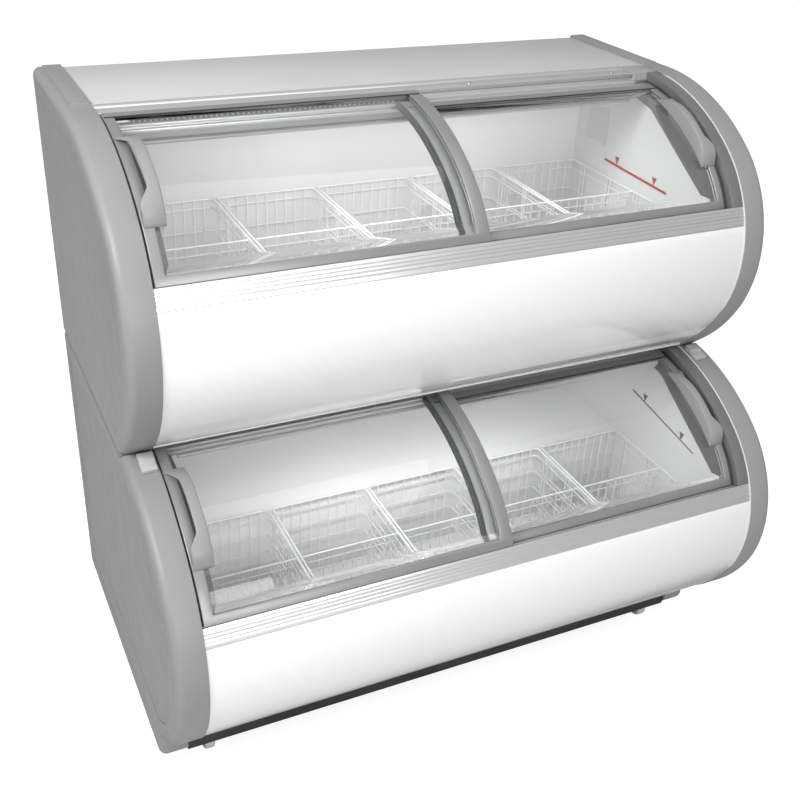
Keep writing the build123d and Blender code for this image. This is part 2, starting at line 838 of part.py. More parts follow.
def side_gaps(tier, x):
    """Gaps between the wires of a basket's side."""
    rear, toe, front, foot, rim = basket_shape(tier)
    points = [(rear + basket_wire, foot + basket_wire), (rear + basket_wire, rim - basket_wire),
              (front - basket_wire, rim - basket_wire),
              (front - basket_wire, foot + basket_chamfer_rise),
              (toe - basket_wire, foot + basket_wire)]
    middle = at((rear + front) / 2, (foot + rim) / 2)
    uprights = round((front - rear) / side_wire_pitch) - 1
    row_pitch = (rim - rim_wire_pitch - foot) / (side_rows + 1)
    with BuildSketch(Plane.YZ.offset(x)) as area:
        with BuildLine():
            Polyline(*(at(*point) for point in points), close=True)
        make_face()
        with Locations(middle):
            with GridLocations(side_wire_pitch, 0, uprights, 1):
                Rectangle(basket_wire, rim - foot, mode=Mode.SUBTRACT)
        with Locations(*((middle[0], at(0, foot + row_pitch * (k + 1))[1]) for k in range(side_rows))):
            Rectangle(front - rear, basket_wire, mode=Mode.SUBTRACT)
        with Locations((middle[0], at(0, rim - rim_wire_pitch)[1])):
            Rectangle(front - rear, basket_wire, mode=Mode.SUBTRACT)
    return area.sketch


def end_gaps(y, inside, bands):
    """Gaps between the upright wires across a basket, in bands between two heights."""
    columns = round(inside / end_wire_pitch)
    pitch = (inside + basket_wire) / columns
    with BuildSketch(Plane.XZ.offset(-y)) as area:
        for bottom, top in bands:
            with Locations((0, floor_gap + (bottom + top) / 2)):
                with GridLocations(pitch, 0, columns, 1):
                    Rectangle(pitch - basket_wire, top - bottom)
    return area.sketch


def floor_gaps(tier, inside):
    """Gaps between the wires of a basket's floor."""
    rear, toe, _, foot, _ = basket_shape(tier)
    length = toe - rear - 2 * basket_wire
    columns = round(inside / (2 * end_wire_pitch))
    rows = round(length / side_wire_pitch)
    pitch_x, pitch_y = (inside + basket_wire) / columns, (length + basket_wire) / rows
    with BuildSketch(Plane.XY.offset(floor_gap + foot)) as area:
        with Locations((0, at(rear + basket_wire + length / 2, 0)[0])):
            with GridLocations(pitch_x, pitch_y, columns, rows):
                Rectangle(pitch_x - basket_wire, pitch_y - basket_wire)
    return area.sketch


def end_lattice(points, inside, bands):
    """Flat lattice across a basket, from its side section and the bands of its gaps."""
    middle = at(sum(depth for depth, _ in points) / len(points), 0)[0]
    with BuildPart() as lattice:
        extrude(section(points, -inside / 2), amount=inside)
        extrude(end_gaps(middle, inside, bands), amount=basket_chamfer_rise, both=True, mode=Mode.SUBTRACT)
    return lattice.part


def basket(tier):
    """Middle wire basket of a tier: flat lattices of wire, with a wire divider across it."""
    rear, toe, front, foot, rim = basket_shape(tier)
    wire = basket_wire
    outside = tank_width / baskets_per_tier - basket_gap
    inside = outside - 2 * wire
    low, knee, step = foot + wire, foot + basket_chamfer_rise, rim - rim_wire_pitch
    slope = (front - toe) / basket_chamfer_rise
    start, through = toe + slope * wire, hypot(wire, slope * wire)
    middle = rear + (front - rear) * divider_place
    upper_bands = [(low, step - wire), (step, rim - wire)]
    with BuildPart() as side:
        extrude(basket_side(tier, inside / 2), amount=wire)
        extrude(side_gaps(tier, inside / 2), amount=wire, mode=Mode.SUBTRACT)
    with BuildPart() as floor:
        extrude(section([(rear, foot), (toe, foot), (toe, low), (rear, low)], -inside / 2), amount=inside)
        extrude(floor_gaps(tier, inside), amount=wire, mode=Mode.SUBTRACT)
    slant = [(start, low), (front, knee), (front - through, knee), (start - through, low)]
    ends = [end_lattice([(rear, low), (rear + wire, low), (rear + wire, rim), (rear, rim)], inside,
                        upper_bands),
            end_lattice([(front - wire, knee), (front, knee), (front, rim), (front - wire, rim)], inside,
                        [(knee + wire, step - wire), (step, rim - wire)]),
            end_lattice(slant, inside, [(low + wire, knee - wire)]),
            end_lattice([(middle, low), (middle + wire, low), (middle + wire, rim), (middle, rim)],
                        inside - 2 * fit_gap, [(low + wire, step - wire), (step, rim - wire)])]
    return Compound(children=both_hands(side.part) + [floor.part] + ends)


def lamp(tier):
    """Lamp housing under the header, hung from a bracket at each end."""
    first, top = lamp_start + tier.forward, lamp_top(tier)
    with BuildPart() as housing:
        corners = [(first, top), (first + lamp_depth, top), (first + lamp_depth, top - lamp_height),
                   (first, top - lamp_height)]
        extrude(section(corners, -lamp_length / 2), amount=lamp_length)
        fillet(housing.edges().filter_by(Axis.X), radius=lamp_depth / 5)
    with BuildPart() as bracket:
        inner = lamp_length / 2 + fit_gap
        extrude(section(corners, inner), amount=tank_side - fit_gap - inner)
    return Compound(children=[housing.part, bracket.part, mirror(bracket.part, about=Plane.YZ)])


def lamp_top(tier):
    """Height of the top of a lamp housing, just under the header."""
    return top_height - tier.down - header_drop - 2 * fit_gap


def led_strip(tier):
    """Strip of lamps on the front of the header, between the tracks of the two doors."""
    first = header_turn + arc_turn(fit_gap)
    last = first + arc_turn(led_thickness)
    with BuildPart() as lamps:
        band = strip(tier, first, last, led_inset, led_inset + led_height, -lamp_length / 2)
        extrude(band, amount=lamp_length)
    return lamps.part


def top_panel():
    """Flat metal top between the side panels."""
    with BuildPart() as panel:
        top = floor_gap + top_height + pad_height - top_step
        first, last = foam_back - top_sheet, header_start - nosing_depth - fit_gap
        with BuildSketch(Plane.XY.offset(top - top_sheet)):
            with Locations((0, at((first + last) / 2, 0)[0])):
                Rectangle(2 * trim_side, last - first)
        extrude(amount=top_sheet)
    return panel.part


def back_panel(tier):
    """Metal sheet over the back of a tier's foam."""
    low = deck_height() if tier is upper else machine_ceiling
    high = foam_top(tier)
    with BuildPart() as panel:
        first = foam_back - fit_gap - back_sheet
        corners = [(first, low), (foam_back - fit_gap, low), (foam_back - fit_gap, high), (first, high)]
        extrude(section(corners), amount=trim_side, both=True)
    return panel.part


def joint_cover():
    """Cap over the joint between the right side panels, on the lower tier's rim."""
    with BuildPart() as cover:
        start = rim_inner + joint_inset
        low = strip(lower, joint_start, joint_end, -joint_height, -fit_gap, start)
        extrude(low, amount=joint_width)
        middle = (joint_start + joint_end) / 2
        high = strip(lower, joint_start, middle, -joint_height - joint_step, -fit_gap, start)
        extrude(high, amount=joint_width)
        fillet(cover.edges().filter_by(Axis.X).group_by(Axis.Z)[-1], radius=joint_step / 2)
    return cover.part


def deck_point(x, place_depth, height=0.0):
    """Point on the base's deck, or above it by a height."""
    return place(x, place_depth, deck_floor + base_sheet + fit_gap + height)


def caster_seats():
    """Swivel axes of the four casters, by name, as a side and a depth."""
    return {f"{row}_{hand}": (side * caster_side, seat)
            for row, seat in zip(("front", "rear"), caster_depths)
            for hand, side in (("left", -1), ("right", 1))}


def base_frame():
    """Metal tray under the cabinet, with a skirt, a crossbar, and a swivel pin for each caster."""
    middle = at((base_back + base_front) / 2, 0)[0]
    length = base_front - base_back
    under = floor_gap + deck_floor
    plate_top = under - fit_gap
    bearing_top = plate_top - caster_plate_sheet
    pin_top = bearing_top - bearing_height
    with BuildPart() as tray:
        with BuildSketch(Plane.XY.offset(floor_gap + base_bottom)):
            with Locations((0, middle)):
                Rectangle(2 * trim_side, length)
        extrude(amount=base_top - base_bottom)
        with BuildSketch(Plane.XY.offset(floor_gap + base_bottom)):
            with Locations((0, middle)):
                Rectangle(2 * (trim_side - base_sheet), length - 2 * base_sheet)
        extrude(amount=base_top - base_bottom, mode=Mode.SUBTRACT)
        with BuildSketch(Plane.XY.offset(under)):
            with Locations((0, middle)):
                Rectangle(2 * trim_side, length)
        extrude(amount=base_sheet)
        bar = [(machine_depth, base_top), (machine_depth + base_sheet, base_top),
               (machine_depth + base_sheet, deck_floor), (machine_depth, deck_floor)]
        extrude(section(bar), amount=trim_side, both=True)
    with BuildPart() as mount:
        with BuildSketch(Plane.XY.offset(bearing_top)):
            RectangleRounded(caster_plate, caster_plate, caster_plate / 12)
        extrude(amount=caster_plate_sheet)
        with BuildSketch(Plane.XY.offset(pin_top)):
            Circle(bearing_radius)
        extrude(amount=bearing_height)
        pin = crown_height + 2 * fit_gap
        with BuildSketch(Plane.XY.offset(pin_top - pin)):
            Circle(swivel_radius)
        extrude(amount=pin)
        with BuildSketch(Plane.XY.offset(pin_top - pin - swivel_head_height)):
            Circle(swivel_head)
        extrude(amount=swivel_head_height)
    mounts = [Pos(x, at(seat, 0)[0], 0) * mount.part for x, seat in caster_seats().values()]
    return Compound(children=[tray.part, *mounts])


def crown_top():
    """Height of a caster's crown above the floor, just under its bearing."""
    return floor_gap + deck_floor - caster_plate_sheet - bearing_height - 2 * fit_gap


def caster_fork():
    """Fork of a caster about its swivel axis, with the wheel's axle across it."""
    top = crown_top()
    inner = wheel_width / 2 + fork_gap
    with BuildPart() as fork:
        with BuildSketch(Plane.XY.offset(top - crown_height)):
            Circle(crown_radius_out)
            Circle(swivel_radius + running_gap, mode=Mode.SUBTRACT)
        extrude(amount=crown_height)
        for start in (-inner - fork_sheet, inner):
            with BuildSketch(Plane.YZ.offset(start)):
                with BuildLine():
                    Polyline((crown_radius_out / 2, top), (crown_radius_out / 2, top - crown_height),
                             (-caster_trail + axle_head, wheel_radius), (-caster_trail, wheel_radius),
                             (-caster_trail - axle_head, wheel_radius),
                             (-crown_radius_out / 2, top), close=True)
                make_face()
                with Locations((-caster_trail, wheel_radius)):
                    Circle(axle_head)
            extrude(amount=fork_sheet)
        with BuildSketch(Plane.YZ.offset(-inner)):
            with Locations((-caster_trail, wheel_radius)):
                Circle(axle_radius)
        extrude(amount=2 * inner)
        for start in (-inner - 2 * fork_sheet, inner + fork_sheet):
            with BuildSketch(Plane.YZ.offset(start)):
                with Locations((-caster_trail, wheel_radius)):
                    Circle(axle_head - 1)
            extrude(amount=fork_sheet)
    return fork.part


def caster_wheel():
    """Wheel of a caster, with a rounded tread and a dish on each side of its hub."""
    with BuildPart() as wheel:
        with BuildSketch(Plane.YZ.offset(-wheel_width / 2)):
            with Locations((-caster_trail, wheel_radius)):
                Circle(wheel_radius)
        extrude(amount=wheel_width)
        fillet(wheel.edges(), radius=wheel_round)
        for start in (-wheel_width / 2, wheel_width / 2 - wheel_dish):
            with BuildSketch(Plane.YZ.offset(start)):
                with Locations((-caster_trail, wheel_radius)):
                    Circle(wheel_radius - wheel_round - wheel_dish)
                    Circle(2 * axle_radius, mode=Mode.SUBTRACT)
            extrude(amount=wheel_dish, mode=Mode.SUBTRACT)
        with BuildSketch(Plane.YZ.offset(-wheel_width / 2)):
            with Locations((-caster_trail, wheel_radius)):
                Circle(axle_radius + running_gap)
        extrude(amount=wheel_width, mode=Mode.SUBTRACT)
    return wheel.part


def rear_grille():
    """Louvred sheet over the back of the machine room, with a cut-out for the control box."""
    low, high = floor_gap + base_top + fit_gap, floor_gap + grille_top
    plane = Plane.XZ.offset(grille_depth + grille_sheet - back)
    with BuildPart() as sheet_part:
        with BuildSketch(plane):
            with Locations((0, (low + high) / 2)):
                Rectangle(2 * trim_side, high - low)
            with Locations((0, (low + high - grille_depth) / 2)):
                with GridLocations(1.5 * louvre_length, louvre_pitch, louvre_columns, louvre_rows):
                    SlotOverall(louvre_length, louvre_height, mode=Mode.SUBTRACT)
            with Locations((box_side, floor_gap + box_middle)):
                Rectangle(box_width + 2 * fit_gap, box_height + 2 * fit_gap, mode=Mode.SUBTRACT)
        extrude(amount=-grille_sheet)
    return sheet_part.part


def compressor():
    """Sealed compressor: a domed can on a foot plate and four rubber grommets, with its terminal box."""
    radius, height = compressor_radius, compressor_height
    foot, reach = compressor_foot, compressor_foot_reach
    with BuildPart() as can:
        with BuildSketch(Plane(deck_point(compressor_side, compressor_depth, foot))):
            RectangleRounded(2 * reach, compressor_foot_depth, compressor_foot)
        extrude(amount=base_sheet)
        with BuildSketch(Plane(deck_point(compressor_side, compressor_depth, foot))):
            Circle(radius)
        extrude(amount=height)
        rims = can.edges().filter_by(GeomType.CIRCLE).filter_by(lambda edge: edge.radius > radius - 1)
        fillet(rims.group_by(Axis.Z)[-1], radius=compressor_dome)
        with BuildSketch(Plane(deck_point(compressor_side, compressor_depth, foot + compressor_band_height))):
            Circle(radius + 2 * base_sheet)
        extrude(amount=base_sheet)
        with BuildSketch(Plane(deck_point(compressor_side, compressor_depth, foot + terminal_height))):
            with Locations((-radius, 0)):
                RectangleRounded(terminal_width, terminal_length, terminal_round)
        extrude(amount=terminal_reach)
    with BuildPart() as grommets:
        with BuildSketch(Plane(deck_point(compressor_side, compressor_depth))):
            with GridLocations(2 * (reach - foot), compressor_foot_depth - 2 * foot, 2, 2):
                Circle(grommet_radius)
        extrude(amount=foot - fit_gap)
    return Compound(children=[can.part, *grommets.part.solids()])


def condenser():
    """Finned condenser with two rows of tube, between two end plates."""
    length = condenser_width
    with BuildPart() as block:
        with BuildSketch(Plane(deck_point(condenser_side, condenser_start + condenser_thickness / 2))):
            with GridLocations(fin_pitch, 0, round(length / fin_pitch) - 1, 1):
                Rectangle(fin_sheet, condenser_thickness - 6)
            with GridLocations(length - base_sheet, 0, 2, 1):
                Rectangle(base_sheet, condenser_thickness)
        extrude(amount=condenser_height)
        rows = [floor_gap + row for row in condenser_row_heights()]
        for column in condenser_columns():
            plane = Plane((condenser_side, at(column, 0)[0], 0), x_dir=(1, 0, 0), z_dir=(0, -1, 0))
            add(winding(plane, rows, length / 2 + condenser_pitch / 2))
        near, far = condenser_columns()
        end, foot_row = condenser_end(), condenser_row_heights()[0]
        turn_out = end + condenser_pitch / 2
        points = [place(x, column, foot_row)
                  for x, column in ((end, near), (turn_out, near), (turn_out, far), (end, far))]
        add(pipe(points, (far - near) / 2 * 0.98))
    return block.part


def condenser_row_heights():
    """Heights of the condenser's tubes."""
    middle = deck_floor + base_sheet + fit_gap + condenser_height / 2
    return centred_rows(middle, condenser_rows, condenser_pitch)


def condenser_columns():
    """Depths of the condenser's two columns of tube."""
    return [condenser_start + condenser_thickness * share for share in (0.28, 0.72)]


def condenser_end():
    """Side at which the condenser's tubes end."""
    return condenser_side + condenser_width / 2 + condenser_pitch / 2


def fan_plane(place_depth):
    """Plane across the fan's axis at a depth, facing forward."""
    return Plane((condenser_side, at(place_depth, 0)[0], floor_gap + fan_height),
                 x_dir=(1, 0, 0), z_dir=(0, -1, 0))


def fan_motor():
    """Fan shroud on the condenser, with its motor on arms and the shaft the blades turn on."""
    face = condenser_start - fit_gap
    ring = face - shroud_depth
    inner = fan_radius + fan_clearance
    middle = deck_floor + base_sheet + fit_gap + condenser_height / 2 - fan_height
    arms = ring + arm_sheet
    with BuildPart() as motor:
        with BuildSketch(fan_plane(face - shroud_sheet)):
            with Locations((0, middle)):
                Rectangle(condenser_width, condenser_height)
            Circle(inner, mode=Mode.SUBTRACT)
        extrude(amount=shroud_sheet)
        with BuildSketch(fan_plane(ring)):
            Circle(inner + shroud_sheet)
            Circle(inner, mode=Mode.SUBTRACT)
        extrude(amount=shroud_depth)
        with BuildSketch(fan_plane(ring)):
            for turn in (45, 135):
                with Locations(Rot(0, 0, turn)):
                    Rectangle(2 * inner + shroud_sheet, arm_width)
        extrude(amount=arm_sheet)
        with BuildSketch(fan_plane(arms - motor_length)):
            Circle(motor_radius)
        extrude(amount=motor_length)
        with BuildSketch(fan_plane(arms)):
            Circle(shaft_radius)
        extrude(amount=hub_length + 4 * fork_gap)
    return motor.part


def fan_blades():
    """Hub and pitched blades of the condenser's fan."""
    start = condenser_start - fit_gap - shroud_depth + arm_sheet + 2 * fork_gap
    middle = start + hub_length / 2
    with BuildPart() as fan:
        with BuildSketch(fan_plane(start)):
            Circle(hub_radius)
        extrude(amount=hub_length)
        for k in range(blade_count):
            spin = radians(360 / blade_count * k)
            root = Plane(fan_plane(middle).origin, x_dir=(0, -1, 0), z_dir=(cos(spin), 0, sin(spin)))
            with BuildSketch(root.offset(hub_radius * 0.8)):
                Rectangle(blade_chord, blade_sheet, rotation=blade_tilt)
            extrude(amount=fan_radius - hub_radius * 0.8)
        with BuildSketch(fan_plane(start)):
            Circle(shaft_radius + running_gap)
        extrude(amount=hub_length, mode=Mode.SUBTRACT)
    return fan.part


def pipe(points, bend=pipe_bend):
    """Bent pipe through points in space."""
    with BuildPart() as bent:
        with BuildLine() as path:
            FilletPolyline(*points, radius=bend)
        with BuildSketch(Plane(origin=path.line @ 0, z_dir=path.line % 0)):
            Circle(pipe_radius)
        sweep(path=path.line)
    return bent.part


def refrigerant_pipes():
    """Discharge pipe to the condenser, and the liquid and suction pipes up into the foam."""
    can_top = deck_floor + base_sheet + fit_gap + compressor_foot + compressor_height + fit_gap
    ceiling = machine_ceiling - fit_gap
    top_row = condenser_row_heights()[-1]
    end = condenser_end() + fit_gap
    near, far = condenser_columns()
    run = compressor_side - 2 * compressor_radius
    discharge = [place(compressor_side - 30, compressor_depth, can_top),
                 place(compressor_side - 30, compressor_depth, can_top + 50),
                 place(run, compressor_depth, can_top + 50),
                 place(run, near, can_top + 50), place(run, near, top_row), place(end, near, top_row)]
    liquid = [place(end, far, top_row), place(end + 60, far, top_row), place(end + 60, far, ceiling)]
    suction = [place(compressor_side + 30, compressor_depth, can_top),
               place(compressor_side + 30, compressor_depth, can_top + 60),
               place(compressor_side + 30, compressor_depth + 90, can_top + 60),
               place(compressor_side + 30, compressor_depth + 90, ceiling)]
    return Compound(children=[pipe(discharge), pipe(liquid), pipe(suction)])


def rear_plane(place_depth=grille_depth):
    """Plane across the depth at a place near the back, facing forward."""
    return Plane.XZ.offset(place_depth - back)


def control_box():
    """Electrical box in the rear grille, with the switch's housing in its rear wall."""
    middle = floor_gap + box_middle
    opening = 2 * (pivot_radius + rocker_reach + 2 * fork_gap)
    with BuildPart() as box:
        with BuildSketch(rear_plane()):
            with Locations((box_side, middle)):
                RectangleRounded(box_width, box_height, box_sheet)
        extrude(amount=box_depth)
        with BuildSketch(rear_plane(grille_depth + box_sheet)):
            with Locations((box_side, middle)):
                Rectangle(box_width - 2 * box_sheet, box_height - 2 * box_sheet)
        extrude(amount=box_depth - 2 * box_sheet, mode=Mode.SUBTRACT)
        with BuildSketch(rear_plane()):
            with Locations((switch_side, middle)):
                Rectangle(rocker_width + 2 * switch_wall, opening + 2 * switch_wall)
        extrude(amount=switch_depth)
        with BuildSketch(rear_plane()):
            with Locations((switch_side, middle)):
                Rectangle(rocker_width, opening)
        extrude(amount=switch_depth - switch_wall, mode=Mode.SUBTRACT)
        with BuildSketch(Plane.YZ.offset(switch_side - rocker_width / 2 - switch_wall)):
            with Locations(at(grille_depth + pivot_depth, box_middle)):
                Circle(pivot_radius + running_gap)
        extrude(amount=rocker_width + 2 * switch_wall, mode=Mode.SUBTRACT)
        with BuildSketch(rear_plane()):
            with Locations((inlet_side, middle)):
                Rectangle(inlet_width + 2 * fit_gap, inlet_height + 2 * fit_gap)
        extrude(amount=box_sheet, mode=Mode.SUBTRACT)
    return box.part


def power_switch():
    """Rocker of the switch on its pivot pins, tipped so that its foot is pressed in."""
    y, z = at(grille_depth + pivot_depth, box_middle)
    front, rear = y + rocker_front, y - rocker_back
    half = rocker_width / 2 - fit_gap
    with BuildPart() as rocker:
        with BuildSketch(Plane.YZ.offset(switch_side - half)):
            with BuildLine():
                Polyline((front, z + rocker_tip), (front - rocker_dip, z), (front, z - rocker_tip),
                         (rear, z - rocker_tip + rocker_taper), (rear, z + rocker_tip - rocker_taper),
                         close=True)
            make_face()
        extrude(amount=2 * half)
        with BuildSketch(Plane.YZ.offset(switch_side - half - switch_wall)):
            with Locations((y, z)):
                Circle(pivot_radius)
        extrude(amount=2 * (half + switch_wall))
    return Pos(0, y, z) * Rot(-rocker_travel / 2, 0, 0) * Pos(0, -y, -z) * rocker.part


def power_inlet():
    """Appliance inlet in the control box: a socket with three flat pins."""
    middle = floor_gap + box_middle
    with BuildPart() as inlet:
        with BuildSketch(rear_plane()):
            with Locations((inlet_side, middle)):
                Rectangle(inlet_width, inlet_height)
        extrude(amount=inlet_depth)
        with BuildSketch(rear_plane()):
            with Locations((inlet_side, middle)):
                RectangleRounded(inlet_width - 2 * inlet_wall, inlet_height - 2 * inlet_wall,
                                 inlet_round)
        extrude(amount=inlet_depth - inlet_wall, mode=Mode.SUBTRACT)
        with BuildSketch(rear_plane(grille_depth + 2 * inlet_wall)):
            with Locations(*((inlet_side + k * pin_pitch, middle + pin_shift * (1 - 2 * abs(k)))
                             for k in (-1, 0, 1))):
                Rectangle(pin_width, pin_height)
        extrude(amount=inlet_depth - 3 * inlet_wall)
    return inlet.part


def both_hands(part):
    """A right-hand piece and its mirror image on the left."""
    return [part, mirror(part, about=Plane.YZ)]


def save(piece, name):
    """Label a piece and write it to its file."""
    piece.label = name
    export_step(piece, f"parts/{name}.step")


os.makedirs("parts", exist_ok=True)

for tier in tiers:
    for hand, panel in zip(("right", "left"), both_hands(side_panel(tier))):
        save(panel, f"side_panel_{tier.name}_{hand}")
    for hand, outer in (("left", True), ("right", False)):
        save(door_frame(tier, outer), f"door_frame_{tier.name}_{hand}")
        save(door_glass(tier, outer), f"door_glass_{tier.name}_{hand}")
        save(door_handle(tier, outer), f"door_handle_{tier.name}_{hand}")
    save(door_seal(tier), f"door_seal_{tier.name}_right")
    save(liner(tier), f"liner_{tier.name}")
    save(front_panel(tier), f"front_panel_{tier.name}")
    middle_basket = basket(tier)
    for k in range(baskets_per_tier):
        shift = (k - (baskets_per_tier - 1) / 2) * tank_width / baskets_per_tier
        save(Pos(shift, 0, 0) * middle_basket, f"basket_{tier.name}_{k + 1}")

save(Compound(children=[foam(tier) for tier in tiers]), "insulation")
save(Compound(children=[piece for tier in tiers for piece in cooling_plate(tier).solids()]), "cooling_plates")
save(Compound(children=[piece for tier in tiers for piece in (sill(tier), post(tier))]), "door_sills")
save(Compound(children=[header(tier) for tier in tiers]), "door_headers")
save(Compound(children=[piece for tier in tiers for piece in both_hands(jamb(tier))]), "door_jambs")
save(Compound(children=[lamp(tier) for tier in tiers]), "lamp_housings")
save(Compound(children=[led_strip(tier) for tier in tiers]), "led_strips")
save(Compound(children=[back_panel(tier) for tier in tiers]), "back_panels")
save(Compound(children=both_hands(joint_cover())), "joint_covers")
save(top_panel(), "top_panel")
save(base_frame(), "base_frame")
save(rear_grille(), "rear_grille")
save(compressor(), "compressor")
save(condenser(), "condenser")
save(fan_motor(), "fan_motor")
save(fan_blades(), "fan_blades")
save(refrigerant_pipes(), "refrigerant_pipes")
save(control_box(), "control_box")
save(power_switch(), "power_switch")
save(power_inlet(), "power_inlet")
for seat_name, (side, seat) in caster_seats().items():
    swivel = Pos(side, at(seat, 0)[0], 0)
    save(swivel * caster_fork(), f"caster_fork_{seat_name}")
    save(swivel * caster_wheel(), f"caster_wheel_{seat_name}")
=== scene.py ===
"""Dresses the packed ice cream display freezer: soft-edged panels, doors, wire baskets, finishes and stage.

Lengths are in metres. Sections are given by depth, measured forward from the cabinet's back plane, and
by height, measured up from the feet of the side panels. A tier's front outline is named by its turn, the
angle in degrees that it has turned from level, and by an inset from that outline.
"""

import json
import math

import bmesh
import bpy
from mathutils import Matrix, Vector

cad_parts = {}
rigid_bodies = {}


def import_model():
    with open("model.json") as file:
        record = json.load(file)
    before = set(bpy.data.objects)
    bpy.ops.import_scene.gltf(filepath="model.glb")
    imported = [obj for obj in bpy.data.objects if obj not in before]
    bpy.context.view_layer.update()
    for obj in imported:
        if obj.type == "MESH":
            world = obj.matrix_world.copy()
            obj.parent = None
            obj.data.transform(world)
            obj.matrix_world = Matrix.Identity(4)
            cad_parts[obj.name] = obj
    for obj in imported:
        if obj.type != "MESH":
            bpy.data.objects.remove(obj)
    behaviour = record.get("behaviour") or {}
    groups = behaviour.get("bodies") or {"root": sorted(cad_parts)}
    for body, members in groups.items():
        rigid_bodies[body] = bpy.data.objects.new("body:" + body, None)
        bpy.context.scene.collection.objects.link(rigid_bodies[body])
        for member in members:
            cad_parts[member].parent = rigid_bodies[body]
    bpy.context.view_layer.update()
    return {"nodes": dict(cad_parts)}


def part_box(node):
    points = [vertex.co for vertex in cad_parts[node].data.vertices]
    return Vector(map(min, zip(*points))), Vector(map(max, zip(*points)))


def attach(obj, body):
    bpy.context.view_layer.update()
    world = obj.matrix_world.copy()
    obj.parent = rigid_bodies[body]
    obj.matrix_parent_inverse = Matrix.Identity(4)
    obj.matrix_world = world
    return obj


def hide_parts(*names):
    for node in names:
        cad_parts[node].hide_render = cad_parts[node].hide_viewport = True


bl_info = {
    "name": "Ice cream display freezer",
    "version": (1, 0, 0),
    "blender": (4, 5, 0),
    "location": "3D View > Sidebar > Freezer",
    "description": "Dresses the packed display freezer with its pieces, finishes and stage",
    "category": "Object",
}

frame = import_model()

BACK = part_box("side_panel_lower_right")[1].y
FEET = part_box("side_panel_lower_right")[0].z
RIM_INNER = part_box("side_panel_lower_right")[0].x
TANK_SIDE = 0.555
POST_SIDE = 0.564
TOP = 1.213
CROWN_START, CROWN_RADIUS, CROWN_TURN = 0.327, 0.450, 38.0
BULGE_RADIUS, BULGE_TURN, TUCK_RADIUS = 0.266, 79.0, 0.362
# How far forward and down each tier's outline sits
TIERS = {"upper": (0.0, 0.0), "lower": (0.1835, 0.5505)}
HANDS = ("left", "right")
# Inset of each door's outer face from its tier's outline
DOOR_FACE = {"left": 0.003, "right": 0.021}
# Places of the colour sockets where two colours are mixed
FIRST_COLOUR, SECOND_COLOUR, MIXED_COLOUR = 6, 7, 2


class FreezerSizes(bpy.types.PropertyGroup):
    """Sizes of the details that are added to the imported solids."""

    edge: bpy.props.FloatProperty(
        name="Panel edge", description="Rounding of the moulded panels' edges",
        default=0.002, min=0.0005, max=0.004, subtype="DISTANCE", unit="LENGTH")
    fold: bpy.props.FloatProperty(
        name="Sheet edge", description="Rounding of the metal sheets' edges",
        default=0.0006, min=0.0002, max=0.001, subtype="DISTANCE", unit="LENGTH")
    rim_wire: bpy.props.FloatProperty(
        name="Rim wire", description="Radius of a basket's rim wire",
        default=0.0022, min=0.001, max=0.003, subtype="DISTANCE", unit="LENGTH")
    mesh_wire: bpy.props.FloatProperty(
        name="Mesh wire", description="Radius of a basket's thinner wires",
        default=0.0013, min=0.0008, max=0.002, subtype="DISTANCE", unit="LENGTH")
    wire_bend: bpy.props.FloatProperty(
        name="Wire bend", description="Radius at which a basket's wires bend",
        default=0.010, min=0.004, max=0.03, subtype="DISTANCE", unit="LENGTH")
    lamp_pitch: bpy.props.FloatProperty(
        name="Lamp pitch", description="Distance from one small lamp to the next",
        default=0.010, min=0.006, max=0.03, subtype="DISTANCE", unit="LENGTH")
    screw_head: bpy.props.FloatProperty(
        name="Screw head", description="Radius of the panel screws' heads",
        default=0.004, min=0.002, max=0.006, subtype="DISTANCE", unit="LENGTH")


def colour_property(name, description, default):
    """A linear colour that a user can change."""
    return bpy.props.FloatVectorProperty(
        name=name, description=description, default=default, size=3, min=0.0, max=1.0, subtype="COLOR")


class FreezerColours(bpy.types.PropertyGroup):
    """Colours of the freezer's finishes."""

    side: colour_property("Side panels", "Grey of the moulded side panels", (0.275, 0.275, 0.28))
    front: colour_property("Front panels", "White of the front panels", (0.88, 0.88, 0.88))
    top: colour_property("Top panel", "Grey of the flat metal top", (0.63, 0.63, 0.635))
    trim: colour_property("Aluminium trim", "Colour of the sills and headers", (0.74, 0.74, 0.75))
    door: colour_property("Door frames", "Grey of the door frames", (0.29, 0.29, 0.295))
    handle: colour_property("Handles", "Grey of the pull handles", (0.28, 0.28, 0.285))
    liner: colour_property("Tanks", "White of the tanks", (0.76, 0.76, 0.76))
    jamb: colour_property("Jambs", "Dark grey of the jambs at the mouths' ends", (0.13, 0.13, 0.13))
    wire: colour_property("Basket wire", "White of the coated basket wire", (0.86, 0.86, 0.85))
    load_line: colour_property("Load line", "Red of the upper tank's load line", (0.42, 0.07, 0.03))


class FrameStage(bpy.types.PropertyGroup):
    """Levels of the studio."""

    key: bpy.props.FloatProperty(
        name="Key lamp", description="Power of the large soft lamp", default=80.0, min=0.0, unit="POWER")
    fill: bpy.props.FloatProperty(
        name="Fill lamp", description="Power of the soft lamp on the other side", default=66.0, min=0.0,
        unit="POWER")
    top: bpy.props.FloatProperty(
        name="Top lamp", description="Power of the soft lamp overhead", default=20.0, min=0.0, unit="POWER")
    tank: bpy.props.FloatProperty(
        name="Tank lamp", description="Power of the lamp in each tank", default=0.8, min=0.0, unit="POWER")
    sky: bpy.props.FloatProperty(
        name="Sky", description="Strength of the even light from all round", default=0.45, min=0.0)


def at(x, depth, height):
    """Point of the row's frame from its side, its depth and its height above the feet."""
    return Vector((x, BACK - depth, FEET + height))


